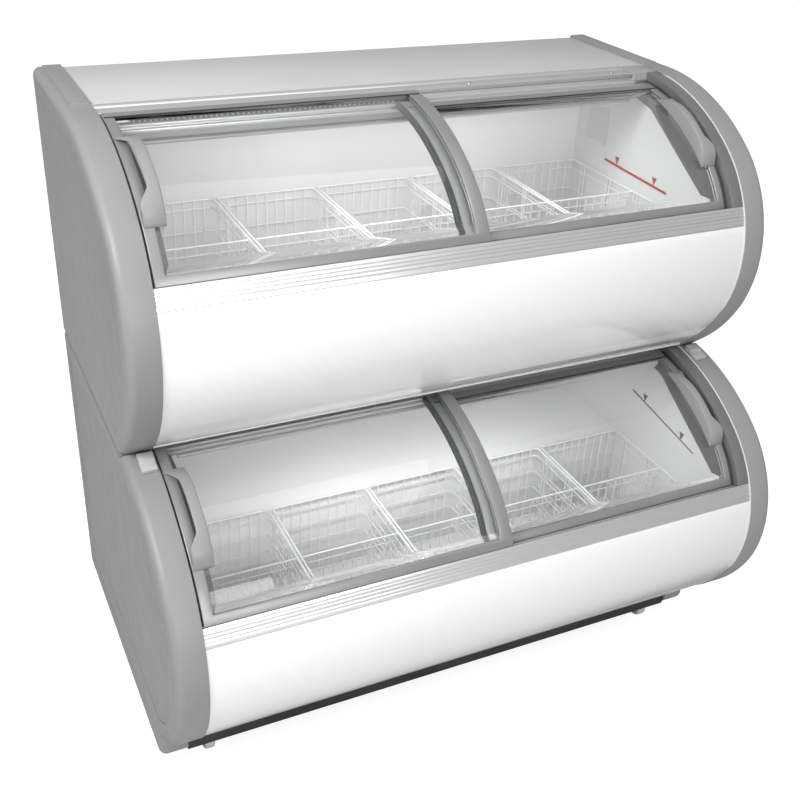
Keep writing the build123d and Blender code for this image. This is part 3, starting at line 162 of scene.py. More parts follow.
def outline(tier, turn, inset=0.0):
    """Depth and height of a tier's outline at a turn, moved inward by an inset."""
    forward, down = TIERS[tier]
    crown = math.radians(CROWN_TURN)
    tuck = math.radians(CROWN_TURN + BULGE_TURN)
    depth, height, radius = CROWN_START, TOP - CROWN_RADIUS, CROWN_RADIUS
    if turn > CROWN_TURN:
        depth += (CROWN_RADIUS - BULGE_RADIUS) * math.sin(crown)
        height += (CROWN_RADIUS - BULGE_RADIUS) * math.cos(crown)
        radius = BULGE_RADIUS
    if turn > CROWN_TURN + BULGE_TURN:
        depth += (BULGE_RADIUS - TUCK_RADIUS) * math.sin(tuck)
        height += (BULGE_RADIUS - TUCK_RADIUS) * math.cos(tuck)
        radius = TUCK_RADIUS
    angle = math.radians(turn)
    return (depth + (radius - inset) * math.sin(angle) + forward,
            height + (radius - inset) * math.cos(angle) - down)


# Finishes

def add_node(tree, kind, settings=None, **sockets):
    """Add a node, set what it is asked to, and link or fill its inputs, named by their labels."""
    node = tree.nodes.new(kind)
    for key, value in (settings or {}).items():
        setattr(node, key, value)
    for label, value in sockets.items():
        plug(tree, node.inputs[label.replace("_", " ")], value)
    return node


def plug(tree, socket, value):
    """Link a socket to another one, or give it a value."""
    if isinstance(value, bpy.types.NodeSocket):
        tree.links.new(value, socket)
    else:
        socket.default_value = value


def noise(tree, vector, scale, detail):
    """A noise pattern's value."""
    node = add_node(tree, "ShaderNodeTexNoise", Vector=vector, Scale=scale, Detail=detail)
    return node.outputs["Fac"]


def levels(tree, value, low, high, source=(0.3, 0.7)):
    """A pattern's value stretched between two levels."""
    node = add_node(tree, "ShaderNodeMapRange", Value=value)
    for label, level in zip(("From Min", "From Max", "To Min", "To Max"), (*source, low, high)):
        node.inputs[label].default_value = level
    return node.outputs["Result"]


def shaded(tree, value, colour, spread):
    """A colour that a pattern darkens and lightens by a spread."""
    node = add_node(tree, "ShaderNodeMix", {"data_type": "RGBA"})
    plug(tree, node.inputs["Factor"], value)
    for socket, share in ((FIRST_COLOUR, 1 - spread), (SECOND_COLOUR, 1 + spread)):
        node.inputs[socket].default_value = (*[min(1.0, c * share) for c in colour], 1)
    return node.outputs[MIXED_COLOUR]


def finish(name, colour, rough, metallic=0.0, spread=0.04, patch=6.0, stretch=(1, 1, 1), grain=900.0,
           bump=0.02, depth=0.0004, coat=0.0, emission=0.0, vary=0.15, settings=None):
    """A procedural finish: patches of colour and roughness, and a fine grain in its surface."""
    material = bpy.data.materials.new(name)
    material.use_nodes = True
    tree = material.node_tree
    shader = tree.nodes["Principled BSDF"]
    place = add_node(tree, "ShaderNodeTexCoord").outputs["Object"]
    place = add_node(tree, "ShaderNodeMapping", Vector=place, Scale=stretch).outputs["Vector"]
    broad = levels(tree, noise(tree, place, patch, 4), 0, 1)
    fine = noise(tree, place, grain, 2)
    plug(tree, shader.inputs["Base Color"], shaded(tree, broad, colour, spread))
    plug(tree, shader.inputs["Roughness"],
         levels(tree, noise(tree, place, patch * 4, 6), rough * (1 - vary), min(1.0, rough * (1 + vary))))
    ripple = add_node(tree, "ShaderNodeBump", Height=fine, Strength=bump, Distance=depth)
    plug(tree, shader.inputs["Normal"], ripple.outputs["Normal"])
    shader.inputs["Metallic"].default_value = metallic
    shader.inputs["Coat Weight"].default_value = coat
    shader.inputs["Coat Roughness"].default_value = 0.08
    if emission:
        shader.inputs["Emission Color"].default_value = (*colour, 1)
        shader.inputs["Emission Strength"].default_value = emission
    for label, value in (settings or {}).items():
        shader.inputs[label].default_value = value
    return material


def glass(name):
    """Clear pane that bends and mirrors light, and lets the lamps' light through to the tank."""
    material = finish(name, (0.99, 1.0, 0.995), 0.02, spread=0.01, patch=1.5, grain=3.0, bump=0.03,
                      depth=0.002, settings={"Transmission Weight": 1.0, "IOR": 1.45})
    tree = material.node_tree
    clear = add_node(tree, "ShaderNodeBsdfTransparent")
    clear.inputs["Color"].default_value = (0.975, 0.985, 0.98, 1)
    path = add_node(tree, "ShaderNodeLightPath")
    either = add_node(tree, "ShaderNodeMath", {"operation": "MAXIMUM"})
    plug(tree, either.inputs[0], path.outputs["Is Shadow Ray"])
    plug(tree, either.inputs[1], path.outputs["Is Diffuse Ray"])
    mix = add_node(tree, "ShaderNodeMixShader")
    plug(tree, mix.inputs[0], either.outputs[0])
    plug(tree, mix.inputs[1], tree.nodes["Principled BSDF"].outputs["BSDF"])
    plug(tree, mix.inputs[2], clear.outputs["BSDF"])
    plug(tree, tree.nodes["Material Output"].inputs["Surface"], mix.outputs["Shader"])
    return material


def make_finishes():
    """Every finish of the freezer, by name."""
    c = bpy.context.scene.freezer_colours
    brushed = (1.5, 260, 260)
    return {
        "side_panel": finish("side_panel_grey", c.side, 0.42, spread=0.03, patch=5, grain=1400, bump=0.10,
                             depth=0.0003),
        "front_panel": finish("front_panel_white", c.front, 0.16, spread=0.012, patch=2, grain=90,
                              bump=0.006, depth=0.0006, coat=0.5),
        "top_panel": finish("top_panel_grey", c.top, 0.36, metallic=0.25, spread=0.02, patch=2.5,
                            grain=700, bump=0.02),
        "back_sheet": finish("back_sheet_grey", (0.50, 0.50, 0.51), 0.42, metallic=0.3, spread=0.06,
                             patch=9, grain=500, bump=0.06),
        "trim": finish("trim_aluminium", c.trim, 0.30, metallic=0.75, spread=0.008, patch=2,
                       stretch=brushed, grain=4, bump=0.008, depth=0.0001, vary=0.04),
        "post": finish("post_grey", (0.19, 0.19, 0.195), 0.36, metallic=0.3, spread=0.03, patch=5,
                       grain=900, bump=0.04),
        "door": finish("door_frame_grey", c.door, 0.34, metallic=0.35, spread=0.04, patch=4, grain=900,
                       bump=0.04),
        "handle": finish("handle_grey", c.handle, 0.40, spread=0.03, patch=12, grain=900, bump=0.03),
        "cap": finish("joint_cap_grey", (0.50, 0.50, 0.505), 0.38, spread=0.03, patch=14, grain=900,
                      bump=0.05),
        # Light grey of the right rims' strips: a painted highlight on their rounded inner edges
        "bead": finish("rim_bead_grey", (0.62, 0.62, 0.625), 0.25, spread=0.02, patch=9, grain=900),
        "header_cap": finish("header_cap_grey", (0.33, 0.33, 0.335), 0.45, spread=0.03, patch=20,
                             grain=900, bump=0.05),
        "pane": glass("door_pane"),
        # Black rubber of the door seals; the same black paints the shadow strip by the post and the shadow
        # line under the door rails
        "seal": finish("seal_rubber", (0.035, 0.035, 0.037), 0.62, spread=0.2, patch=20, grain=600,
                       bump=0.2),
        "liner": finish("tank_white", c.liner, 0.38, spread=0.015, patch=3, grain=400, bump=0.02),
        "jamb": finish("jamb_grey", c.jamb, 0.5, spread=0.05, patch=6, grain=900, bump=0.06),
        "wire": finish("wire_coating", c.wire, 0.28, spread=0.05, patch=60, grain=500, bump=0.05,
                       coat=0.3),
        "foam": finish("foam_cream", (0.62, 0.52, 0.27), 0.85, spread=0.14, patch=40, grain=260,
                       bump=0.6, depth=0.002),
        "evaporator": finish("evaporator_aluminium", (0.6, 0.6, 0.61), 0.35, metallic=0.9, spread=0.08,
                             patch=12, grain=500),
        "lamp": finish("lamp_housing_grey", (0.44, 0.44, 0.445), 0.38, metallic=0.3, spread=0.04,
                       patch=5, grain=700, bump=0.04),
        "lamp_strip": finish("lamp_strip_grey", (0.46, 0.46, 0.46), 0.4, spread=0.03, patch=9, grain=600),
        "lamp_glow": finish("lamp_glow", (0.95, 0.95, 0.92), 0.4, spread=0.03, patch=40, grain=300,
                            emission=0.3),
        "base": finish("base_black", (0.03, 0.03, 0.032), 0.5, spread=0.25, patch=14, grain=700,
                       bump=0.12),
        "steel": finish("zinc_steel", (0.55, 0.55, 0.54), 0.34, metallic=0.9, spread=0.12, patch=60,
                        grain=500, bump=0.05),
        "tread": finish("wheel_nylon", (0.62, 0.60, 0.52), 0.45, spread=0.08, patch=50, grain=500,
                        bump=0.08),
        "grille": finish("grille_grey", (0.09, 0.09, 0.092), 0.45, spread=0.10, patch=8, grain=900,
                         bump=0.10),
        "compressor": finish("compressor_black", (0.018, 0.018, 0.019), 0.30, spread=0.25, patch=25,
                             grain=350, bump=0.10, coat=0.3),
        "fins": finish("condenser_fins", (0.10, 0.10, 0.105), 0.45, metallic=0.5, spread=0.3, patch=50,
                       grain=500),
        "fan_steel": finish("fan_steel", (0.07, 0.07, 0.072), 0.42, metallic=0.3, spread=0.15, patch=20,
                            grain=600, bump=0.05),
        "fan_plastic": finish("fan_plastic", (0.02, 0.02, 0.021), 0.5, spread=0.2, patch=30, grain=700,
                              bump=0.05),
        "copper": finish("pipe_copper", (0.62, 0.29, 0.16), 0.30, metallic=0.95, spread=0.18, patch=45,
                         grain=400),
        "box": finish("box_grey", (0.10, 0.10, 0.105), 0.55, spread=0.08, patch=30, grain=900, bump=0.08),
        "switch": finish("switch_red", (0.45, 0.015, 0.01), 0.22, spread=0.05, patch=60, grain=500),
        "inlet": finish("inlet_black", (0.015, 0.015, 0.015), 0.4, spread=0.2, patch=60, grain=900),
        "load_line": finish("load_line_red", c.load_line, 0.5, spread=0.10, patch=60, grain=600,
                            bump=0.05),
        "dark_line": finish("load_line_grey", (0.10, 0.10, 0.10), 0.5, spread=0.10, patch=60, grain=600),
        "label": finish("blank_label", (0.66, 0.66, 0.66), 0.35, spread=0.04, patch=40, grain=600),
    }


# Wires and small shapes that repeat

def geometry_tree(name, *inputs):
    """An empty Geometry Nodes tree with its named inputs, and its two end nodes."""
    tree = bpy.data.node_groups.new(name, "GeometryNodeTree")
    for label, kind in (("Geometry", "NodeSocketGeometry"), *inputs):
        tree.interface.new_socket(label, in_out="INPUT", socket_type=kind)
    tree.interface.new_socket("Geometry", in_out="OUTPUT", socket_type="NodeSocketGeometry")
    return tree, tree.nodes.new("NodeGroupInput").outputs, tree.nodes.new("NodeGroupOutput").inputs


def close_tree(tree, geometry, material, end):
    """End a tree as plain geometry with its material."""
    real = add_node(tree, "GeometryNodeRealizeInstances", Geometry=geometry)
    dressed = add_node(tree, "GeometryNodeSetMaterial", Geometry=real.outputs[0], Material=material)
    plug(tree, end["Geometry"], dressed.outputs[0])
    return tree


def wire_tree():
    """Tree that turns lines into round wires with bent corners."""
    tree, given, end = geometry_tree(
        "Bent wires", ("Radius", "NodeSocketFloat"), ("Bend", "NodeSocketFloat"),
        ("Sides", "NodeSocketInt"), ("Material", "NodeSocketMaterial"))
    lines = add_node(tree, "GeometryNodeMeshToCurve", Mesh=given["Geometry"])
    bent = add_node(tree, "GeometryNodeFilletCurve", {"mode": "POLY"}, Curve=lines.outputs[0],
                    Radius=given["Bend"], Count=3)
    bent.inputs["Limit Radius"].default_value = True
    ring = add_node(tree, "GeometryNodeCurvePrimitiveCircle", Resolution=given["Sides"],
                    Radius=given["Radius"])
    tube = tree.nodes.new("GeometryNodeCurveToMesh")
    plug(tree, tube.inputs["Curve"], bent.outputs[0])
    plug(tree, tube.inputs["Profile Curve"], ring.outputs[0])
    tube.inputs["Fill Caps"].default_value = True
    smooth = add_node(tree, "GeometryNodeSetShadeSmooth", Geometry=tube.outputs[0])
    return close_tree(tree, smooth.outputs[0], given["Material"], end)


def repeat_tree():
    """Tree that sets a copy of a small shape on every point, facing one way."""
    tree, given, end = geometry_tree(
        "Set on points", ("Shape", "NodeSocketObject"), ("Facing", "NodeSocketVector"),
        ("Material", "NodeSocketMaterial"))
    points = add_node(tree, "GeometryNodeMeshToPoints", Mesh=given["Geometry"])
    shape = add_node(tree, "GeometryNodeObjectInfo", Object=given["Shape"])
    turned = add_node(tree, "FunctionNodeAlignRotationToVector", {"axis": "Z"}, Vector=given["Facing"])
    copies = add_node(tree, "GeometryNodeInstanceOnPoints", Points=points.outputs[0],
                      Instance=shape.outputs["Geometry"], Rotation=turned.outputs[0])
    return close_tree(tree, copies.outputs[0], given["Material"], end)


def run_tree(tree, mesh, **values):
    """Run a tree on a mesh, and give its result as a plain mesh."""
    carrier = bpy.data.objects.new("carrier", mesh)
    bpy.context.scene.collection.objects.link(carrier)
    modifier = carrier.modifiers.new("tree", "NODES")
    modifier.node_group = tree
    for item in tree.interface.items_tree:
        if item.in_out == "INPUT" and item.name in values:
            modifier[item.identifier] = values[item.name]
    result = bpy.data.meshes.new_from_object(
        carrier.evaluated_get(bpy.context.evaluated_depsgraph_get()))
    bpy.data.objects.remove(carrier)
    return result


# Meshes

def line_mesh(paths):
    """Mesh of lines: each path is its points and whether it is closed."""
    points, edges = [], []
    for path, closed in paths:
        first = len(points)
        points += [tuple(p) for p in path]
        edges += [(first + k, first + k + 1) for k in range(len(path) - 1)]
        if closed:
            edges.append((len(points) - 1, first))
    mesh = bpy.data.meshes.new("lines")
    mesh.from_pydata(points, edges, [])
    return mesh


def point_mesh(points):
    """Mesh of loose points."""
    mesh = bpy.data.meshes.new("points")
    mesh.from_pydata([tuple(p) for p in points], [], [])
    return mesh


def joined(meshes):
    """One mesh from several that share a material."""
    bm = bmesh.new()
    for mesh in meshes:
        bm.from_mesh(mesh)
    result = meshes[0]
    bm.to_mesh(result)
    bm.free()
    return result


def loft(rings):
    """Closed skin through rings that have as many points each."""
    count = len(rings[0])
    bm = bmesh.new()
    grid = [[bm.verts.new(p) for p in ring] for ring in rings]
    for first, second in zip(grid, grid[1:]):
        for k in range(count):
            bm.faces.new((first[k], first[(k + 1) % count], second[(k + 1) % count], second[k]))
    bm.faces.new(reversed(grid[0]))
    bm.faces.new(grid[-1])
    bmesh.ops.recalc_face_normals(bm, faces=bm.faces)
    mesh = bpy.data.meshes.new("loft")
    bm.to_mesh(mesh)
    bm.free()
    return mesh


def piece(name, mesh, body, material, nodes=(), smooth=40.0):
    """Put a finished mesh into the scene, on its body, in place of the nodes that it stands for."""
    mesh.name = name
    if material:
        mesh.materials.clear()
        mesh.materials.append(material)
    if smooth:
        mesh.shade_smooth()
        mesh.set_sharp_from_angle(angle=math.radians(smooth))
    obj = bpy.data.objects.new(name, mesh)
    bpy.context.scene.collection.objects.link(obj)
    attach(obj, body)
    if nodes:
        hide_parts(*nodes)
    return obj


def soften(node, material, bevel=0.0, segments=2, sharp=28.0, apart=None):
    """Stand-in for a node: its own shape, merged, with rounded edges and smooth curves.

    Solids that touch stay apart when a test tells the faces of one from those of the others.
    """
    bm = bmesh.new()
    bm.from_mesh(frame["nodes"][node].data)
    told = {v for face in bm.faces if apart and apart(face) for v in face.verts}
    groups = [[v for v in bm.verts if (v in told) == wanted] for wanted in (True, False)]
    for group in groups:
        bmesh.ops.remove_doubles(bm, verts=group, dist=1e-6)
    bmesh.ops.dissolve_limit(bm, angle_limit=math.radians(0.4), verts=bm.verts, edges=bm.edges)
    mesh = bpy.data.meshes.new(node)
    bm.to_mesh(mesh)
    bm.free()
    if bevel:
        carrier = bpy.data.objects.new("carrier", mesh)
        bpy.context.scene.collection.objects.link(carrier)
        round_off = carrier.modifiers.new("edges", "BEVEL")
        round_off.width = bevel
        round_off.segments = segments
        round_off.limit_method = "ANGLE"
        round_off.angle_limit = math.radians(sharp)
        round_off.use_clamp_overlap = True
        mesh = bpy.data.meshes.new_from_object(
            carrier.evaluated_get(bpy.context.evaluated_depsgraph_get()))
        bpy.data.objects.remove(carrier)
    body = frame["nodes"][node].parent.name.split(":", 1)[1]
    return piece(node + "_shape", mesh, body, material, (node,), sharp)


def screw_shape(radius):
    """A pan-head screw with a round recess in its head, facing up."""
    sides, rings = 12, []
    for reach, height in ((1.0, 0.0), (0.96, 0.25), (0.72, 0.5), (0.35, 0.58)):
        rings.append([(radius * reach * math.cos(math.tau * k / sides),
                       radius * reach * math.sin(math.tau * k / sides), radius * height)
                      for k in range(sides)])
    rings.append([(x * 0.6, y * 0.6, radius * 0.25) for x, y, _ in rings[-1]])
    shape = bpy.data.objects.new("screw_shape", loft(rings))
    bpy.context.scene.collection.objects.link(shape)
    shape.data.shade_smooth()
    return shape


def on_points(name, points, shape, facing, material):
    """A piece of the cabinet made of copies of a small shape on points."""
    mesh = run_tree(trees["repeat"], point_mesh(points), Shape=shape, Facing=facing, Material=material)
    piece(name, mesh, "cabinet", None, smooth=0)


finishes = {}
trees = {}


class FREEZER_OT_finishes(bpy.types.Operator):
    """Make the finishes and the node trees that the other pieces use"""

    bl_idname = "freezer.finishes"
    bl_label = "Finishes"

    def execute(self, context):
        finishes.update(make_finishes())
        trees.update(wires=wire_tree(), repeat=repeat_tree())
        return {"FINISHED"}


class FREEZER_OT_cabinet(bpy.types.Operator):
    """Soften the cabinet's panels and trim, and add the header's cap and the right rims' painted highlight
    strips
    """

    bl_idname = "freezer.cabinet"
    bl_label = "Cabinet"

    def execute(self, context):
        sizes = context.scene.freezer_sizes
        for tier in TIERS:
            for hand in HANDS:
                soften(f"side_panel_{tier}_{hand}", finishes["side_panel"], sizes.edge, 3)
            soften(f"front_panel_{tier}", finishes["front_panel"], sizes.fold)
        for node, look in (("top_panel", "top_panel"), ("back_panels", "back_sheet"),
                           ("door_headers", "trim"), ("door_jambs", "jamb"), ("lamp_housings", "lamp")):
            soften(node, finishes[look], sizes.fold)
        sills = soften("door_sills", finishes["trim"], sizes.fold).data
        sills.materials.append(finishes["post"])
        for face in sills.polygons:
            face.material_index = int(min(sills.vertices[k].co.x for k in face.vertices) > POST_SIDE)
        soften("joint_covers", finishes["cap"], sizes.fold)
        self.header_cap()
        # Light grey strips along the right rims' inner edges: a painted highlight
        for tier in TIERS:
            self.rim_bead(tier)
        frame["nodes"]["insulation"].data.materials.clear()
        frame["nodes"]["insulation"].data.materials.append(finishes["foam"])
        soften("cooling_plates", finishes["evaporator"])
        return {"FINISHED"}

    def rim_bead(self, tier):
        """Light grey strip along the inner edge of a right-hand rim, thinner at its two ends: a painted
        highlight on the rim's rounded edge.
        """
        radius, sides, steps = 0.0017, 8, 60
        first, last = 4.0, 116.0
        centre, inset = RIM_INNER - 0.0004, 0.0021
        rings = []
        for k in range(steps + 1):
            turn = first + (last - first) * k / steps
            share = min(1.0, 0.2 + min(k, steps - k) * 0.4)
            rings.append([at(centre + radius * share * math.cos(math.tau * j / sides),
                             *outline(tier, turn, inset - radius * share * math.sin(math.tau * j / sides)))
                          for j in range(sides)])
        piece(f"rim_bead_{tier}", loft(rings), "cabinet", finishes["bead"])

    def header_cap(self):
        """Plastic cap on the right end of the upper header."""
        corners = [(0.3005, 1.2105), (0.3015, 1.2125), (0.340, 1.2122), (0.3462, 1.2100), (0.3478, 1.196),
                   (0.3465, 1.1935), (0.345, 1.193), (0.3005, 1.193)]
        middle = Vector((0.324, 1.202))
        rings = []
        for x, share in ((0.531, 0.93), (0.5325, 1.0), (0.589, 1.0), (0.5905, 0.93)):
            rings.append([at(x, *(middle + (Vector(corner) - middle) * share)) for corner in corners])
        piece("header_cap", loft(rings), "cabinet", finishes["header_cap"], smooth=30.0)


class FREEZER_OT_screws(bpy.types.Operator):
    """Set the screws on the headers, the back panels and the grille"""

    bl_idname = "freezer.screws"
    bl_label = "Screws"

    def execute(self, context):
        radius = context.scene.freezer_sizes.screw_head
        screw = screw_shape(radius)
        edge = RIM_INNER - 0.03
        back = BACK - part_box("back_panels")[1].y
        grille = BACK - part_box("rear_grille")[1].y
        side_rows, joint_rows = (0.345, 0.49, 0.64, 0.69, 0.86, 1.03, 1.19), (0.64, 0.69, 1.19)
        points = [at(side * edge, back, row) for row in side_rows for side in (-1, 1)]
        points += [at(x * edge / 3, back, row) for row in joint_rows for x in (-2, 0, 2)]
        on_points("back_screws", points, screw, (0, 1, 0), finishes["steel"])
        points = [at(x * edge / 4, grille, row) for row in (0.075, 0.318) for x in range(-4, 5, 2)]
        on_points("grille_screws", points, screw, (0, 1, 0), finishes["steel"])
        points = [at(x, 0.329, TOP - 0.003) for x in (0.142, 0.485)]
        on_points("header_screws", points, screw, (0, 0, 1), finishes["steel"])
        bpy.data.objects.remove(screw)
        return {"FINISHED"}


class FREEZER_OT_doors(bpy.types.Operator):
    """Soften the sliding doors, glaze them, line them and shape their pull handles"""

    bl_idname = "freezer.doors"
    bl_label = "Doors"

    def execute(self, context):
        for tier in TIERS:
            for hand in HANDS:
                key = f"{tier}_{hand}"
                soften(f"door_frame_{key}", finishes["door"], 0.002, 3)
                soften(f"door_glass_{key}", finishes["pane"], 0.0006)
                self.handle(tier, hand)
            soften(f"door_seal_{tier}_right", finishes["seal"], 0.0005)
            self.rails_and_shadow_strips(tier)
        return {"FINISHED"}

    def rails_and_shadow_strips(self, tier):
        """Black strip along the right post, a painted shadow in the gap between post and door, and each
        door's top rail with its black glazing strip, whose black also paints the shadow line at the rail's
        foot.
        """
        # Black strip beside the post's inner edge: painted shadow of the gap to the door
        profile = [(0.5606, 0.0206), (0.5606, 0.0192), (0.5616, 0.0185), (0.5650, 0.0185),
                   (0.5650, 0.0206)]
        first, run, steps = 5.8, 58.0, 40
        rings = [[at(x, *outline(tier, first + run * k / steps, inset)) for x, inset in profile]
                 for k in range(steps + 1)]
        piece(f"post_gasket_{tier}", loft(rings), "cabinet", finishes["seal"], smooth=30.0)
        sunk, rail, gasket = 0.0005, 2.6, 0.4
        for hand, span, top in (("left", (-0.588, 0.012), 2.4), ("right", (-0.022, 0.588), 5.6)):
            foot = top + rail
            # Grey top rail, then a real black glazing seal below it, whose black also paints the shadow
            # line at the rail's foot
            for part, slot, look, start, end, lift in (
                    ("rail", "door_grey", "door", top, foot, 0.0006),
                    ("gasket", "seal", "seal", foot, foot + gasket, 0.0010)):
                turns = [start + (end - start) * k / 4 for k in range(5)]
                profile = [outline(tier, turn, DOOR_FACE[hand] - lift) for turn in turns]
                profile += [outline(tier, turn, DOOR_FACE[hand] + sunk) for turn in reversed(turns)]
                mesh = loft([[at(x, *point) for point in profile] for x in span])
                piece(f"top_{part}_{tier}_{hand}", mesh, f"door_{tier}_{hand}", finishes[look],
                      smooth=30.0)

    def handle(self, tier, hand):
        """One bowed handle, closed on the glass side and open to the fingers on the other."""
        node = f"door_handle_{tier}_{hand}"
        low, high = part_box(node)
        straight, free = (high.x, low.x) if hand == "left" else (low.x, high.x)
        out = 1 if free > straight else -1
        start, end, count = 15.0, 43.0, 30
        shell, web, soft, scallop, bow, fullness = 0.004, 0.003, 0.0022, 0.017, 0.0288, 2.6
        rings = []
        for k in range(count + 1):
            along = k / count
            rise = max(0.0008, bow * (1 - abs(along * 2 - 1) ** fullness))
            under = max(0.0004, rise - shell)
            ramp_in = min(1.0, max(0.0, (along - 0.03) / 0.14))
            ramp_out = min(1.0, max(0.0, (0.77 - along) / 0.11))
            edge = free - out * scallop * ramp_in * ramp_out
            near, wall = straight + out * 0.0001, straight + out * web
            corner = min(soft, rise * 0.4)
            lip = min(0.0014, rise * 0.2)
            ring = [(near, 0.0), (near, rise - corner), (near + out * corner * 0.3, rise - corner * 0.3),
                    (near + out * corner, rise), ((near + edge) / 2, rise + 0.0002),
                    (edge - out * corner, rise), (edge - out * corner * 0.3, rise - corner * 0.3),
                    (edge, rise - corner), (edge, under + lip * 0.5), (edge - out * lip, under),
                    (wall + out * lip, under), (wall, max(0.0003, under - lip)), (wall, 0.0)]
            turn = start + (end - start) * k / count
            rings.append([at(x, *outline(tier, turn, DOOR_FACE[hand] - up)) for x, up in ring])
        piece(node + "_shape", loft(rings), f"door_{tier}_{hand}", finishes["handle"],
              (node,), 50.0)


class FREEZER_OT_tanks(bpy.types.Operator):
    """Soften the tanks, light their lamps, and draw their load lines and a blank label"""

    bl_idname = "freezer.tanks"
    bl_label = "Tanks"

    def execute(self, context):
        soften("led_strips", finishes["lamp_strip"])
        for tier in TIERS:
            soften(f"liner_{tier}", finishes["liner"], apart=self.end_wall)
            self.lamps(tier, context.scene.freezer_sizes.lamp_pitch)
            self.load_line(tier)
            self.lamp_lip(tier)
        wall = TANK_SIDE - 0.0003
        corners = [(0.171, 1.104), (0.252, 1.104), (0.252, 1.024), (0.171, 1.024)]
        self.plate("blank_label", [at(wall, *corner) for corner in corners], "label")
        return {"FINISHED"}

    def end_wall(self, face):
        """Whether a face of a tank belongs to one of its two end walls."""
        reach = max(abs(vert.co.x) for vert in face.verts)
        return reach > TANK_SIDE + 0.001 or face.normal.x * face.calc_center_median().x < -0.1

    def plate(self, name, corners, look):
        """Thin plate on the right wall of a tank."""
        thick = 0.0005
        mesh = loft([[c + Vector((-shift, 0, 0)) for c in corners] for shift in (0.0, thick)])
        piece(name, mesh, "cabinet", finishes[look], smooth=0)

    def lamps(self, tier, pitch):
        """Small square lamps along the left half of the lit strip, in two rows."""
        down = TIERS[tier][1]
        low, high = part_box("led_strips")
        front = BACK - low.y if tier == "lower" else BACK - low.y - TIERS["lower"][0]
        top = high.z - FEET - down
        count = int(-low.x / pitch) - 2
        points = [at(low.x + (k + 0.5) * pitch, front, top - row)
                  for k in range(count) for row in (0.0050, 0.0086)]
        size, thick = 0.0016, 0.0008
        square = [(-size, -size), (size, -size), (size, size), (-size, size)]
        shape = bpy.data.objects.new("lamp_shape", loft(
            [[(x * share, y * share, z) for x, y in square] for share, z in ((1, 0), (0.8, thick))]))
        bpy.context.scene.collection.objects.link(shape)
        on_points(f"lamps_{tier}", points, shape, (0, -1, 0), finishes["lamp_glow"])
        bpy.data.objects.remove(shape)

    def lamp_lip(self, tier):
        """Rounded lip along the foot of a tank's lamp housing."""
        forward, down = TIERS[tier]
        depth, height, reach, rise, sides = 0.334, 1.1485, 0.006, 0.0045, 14
        profile = [(math.cos(math.tau * k / sides), math.sin(math.tau * k / sides))
                   for k in range(sides)]
        rings = [[at(x, depth + reach * share * a + forward, height + rise * share * b - down)
                  for a, b in profile]
                 for x, share in ((-0.537, 0.8), (-0.536, 1), (0.536, 1), (0.537, 0.8))]
        piece(f"lamp_lip_{tier}", loft(rings), "cabinet", finishes["lamp"])

    def load_line(self, tier):
        """Slanted line with two marks, on the right wall."""
        look, thick, start, end = {
            "upper": ("load_line", 0.0028, (0.254, 0.9935), (0.485, 0.987)),
            "lower": ("dark_line", 0.0016, (0.489, 0.508), (0.722, 0.470))}[tier]
        wall = TANK_SIDE - 0.0002
        side = [(start[0], start[1] + thick), (end[0], end[1] + thick), (end[0], end[1] - thick),
                (start[0], start[1] - thick)]
        self.plate(f"load_line_{tier}", [at(wall, *corner) for corner in side], look)
        for k, share in enumerate((0.2, 0.8)):
            depth = start[0] + (end[0] - start[0]) * share
            height = start[1] + (end[1] - start[1]) * share + thick * 0.5
            brim = height + 0.018
            mark = [(depth - 0.008, brim), (depth + 0.008, brim), (depth, height)]
            self.plate(f"load_mark_{tier}_{k + 1}", [at(wall, *corner) for corner in mark], look)


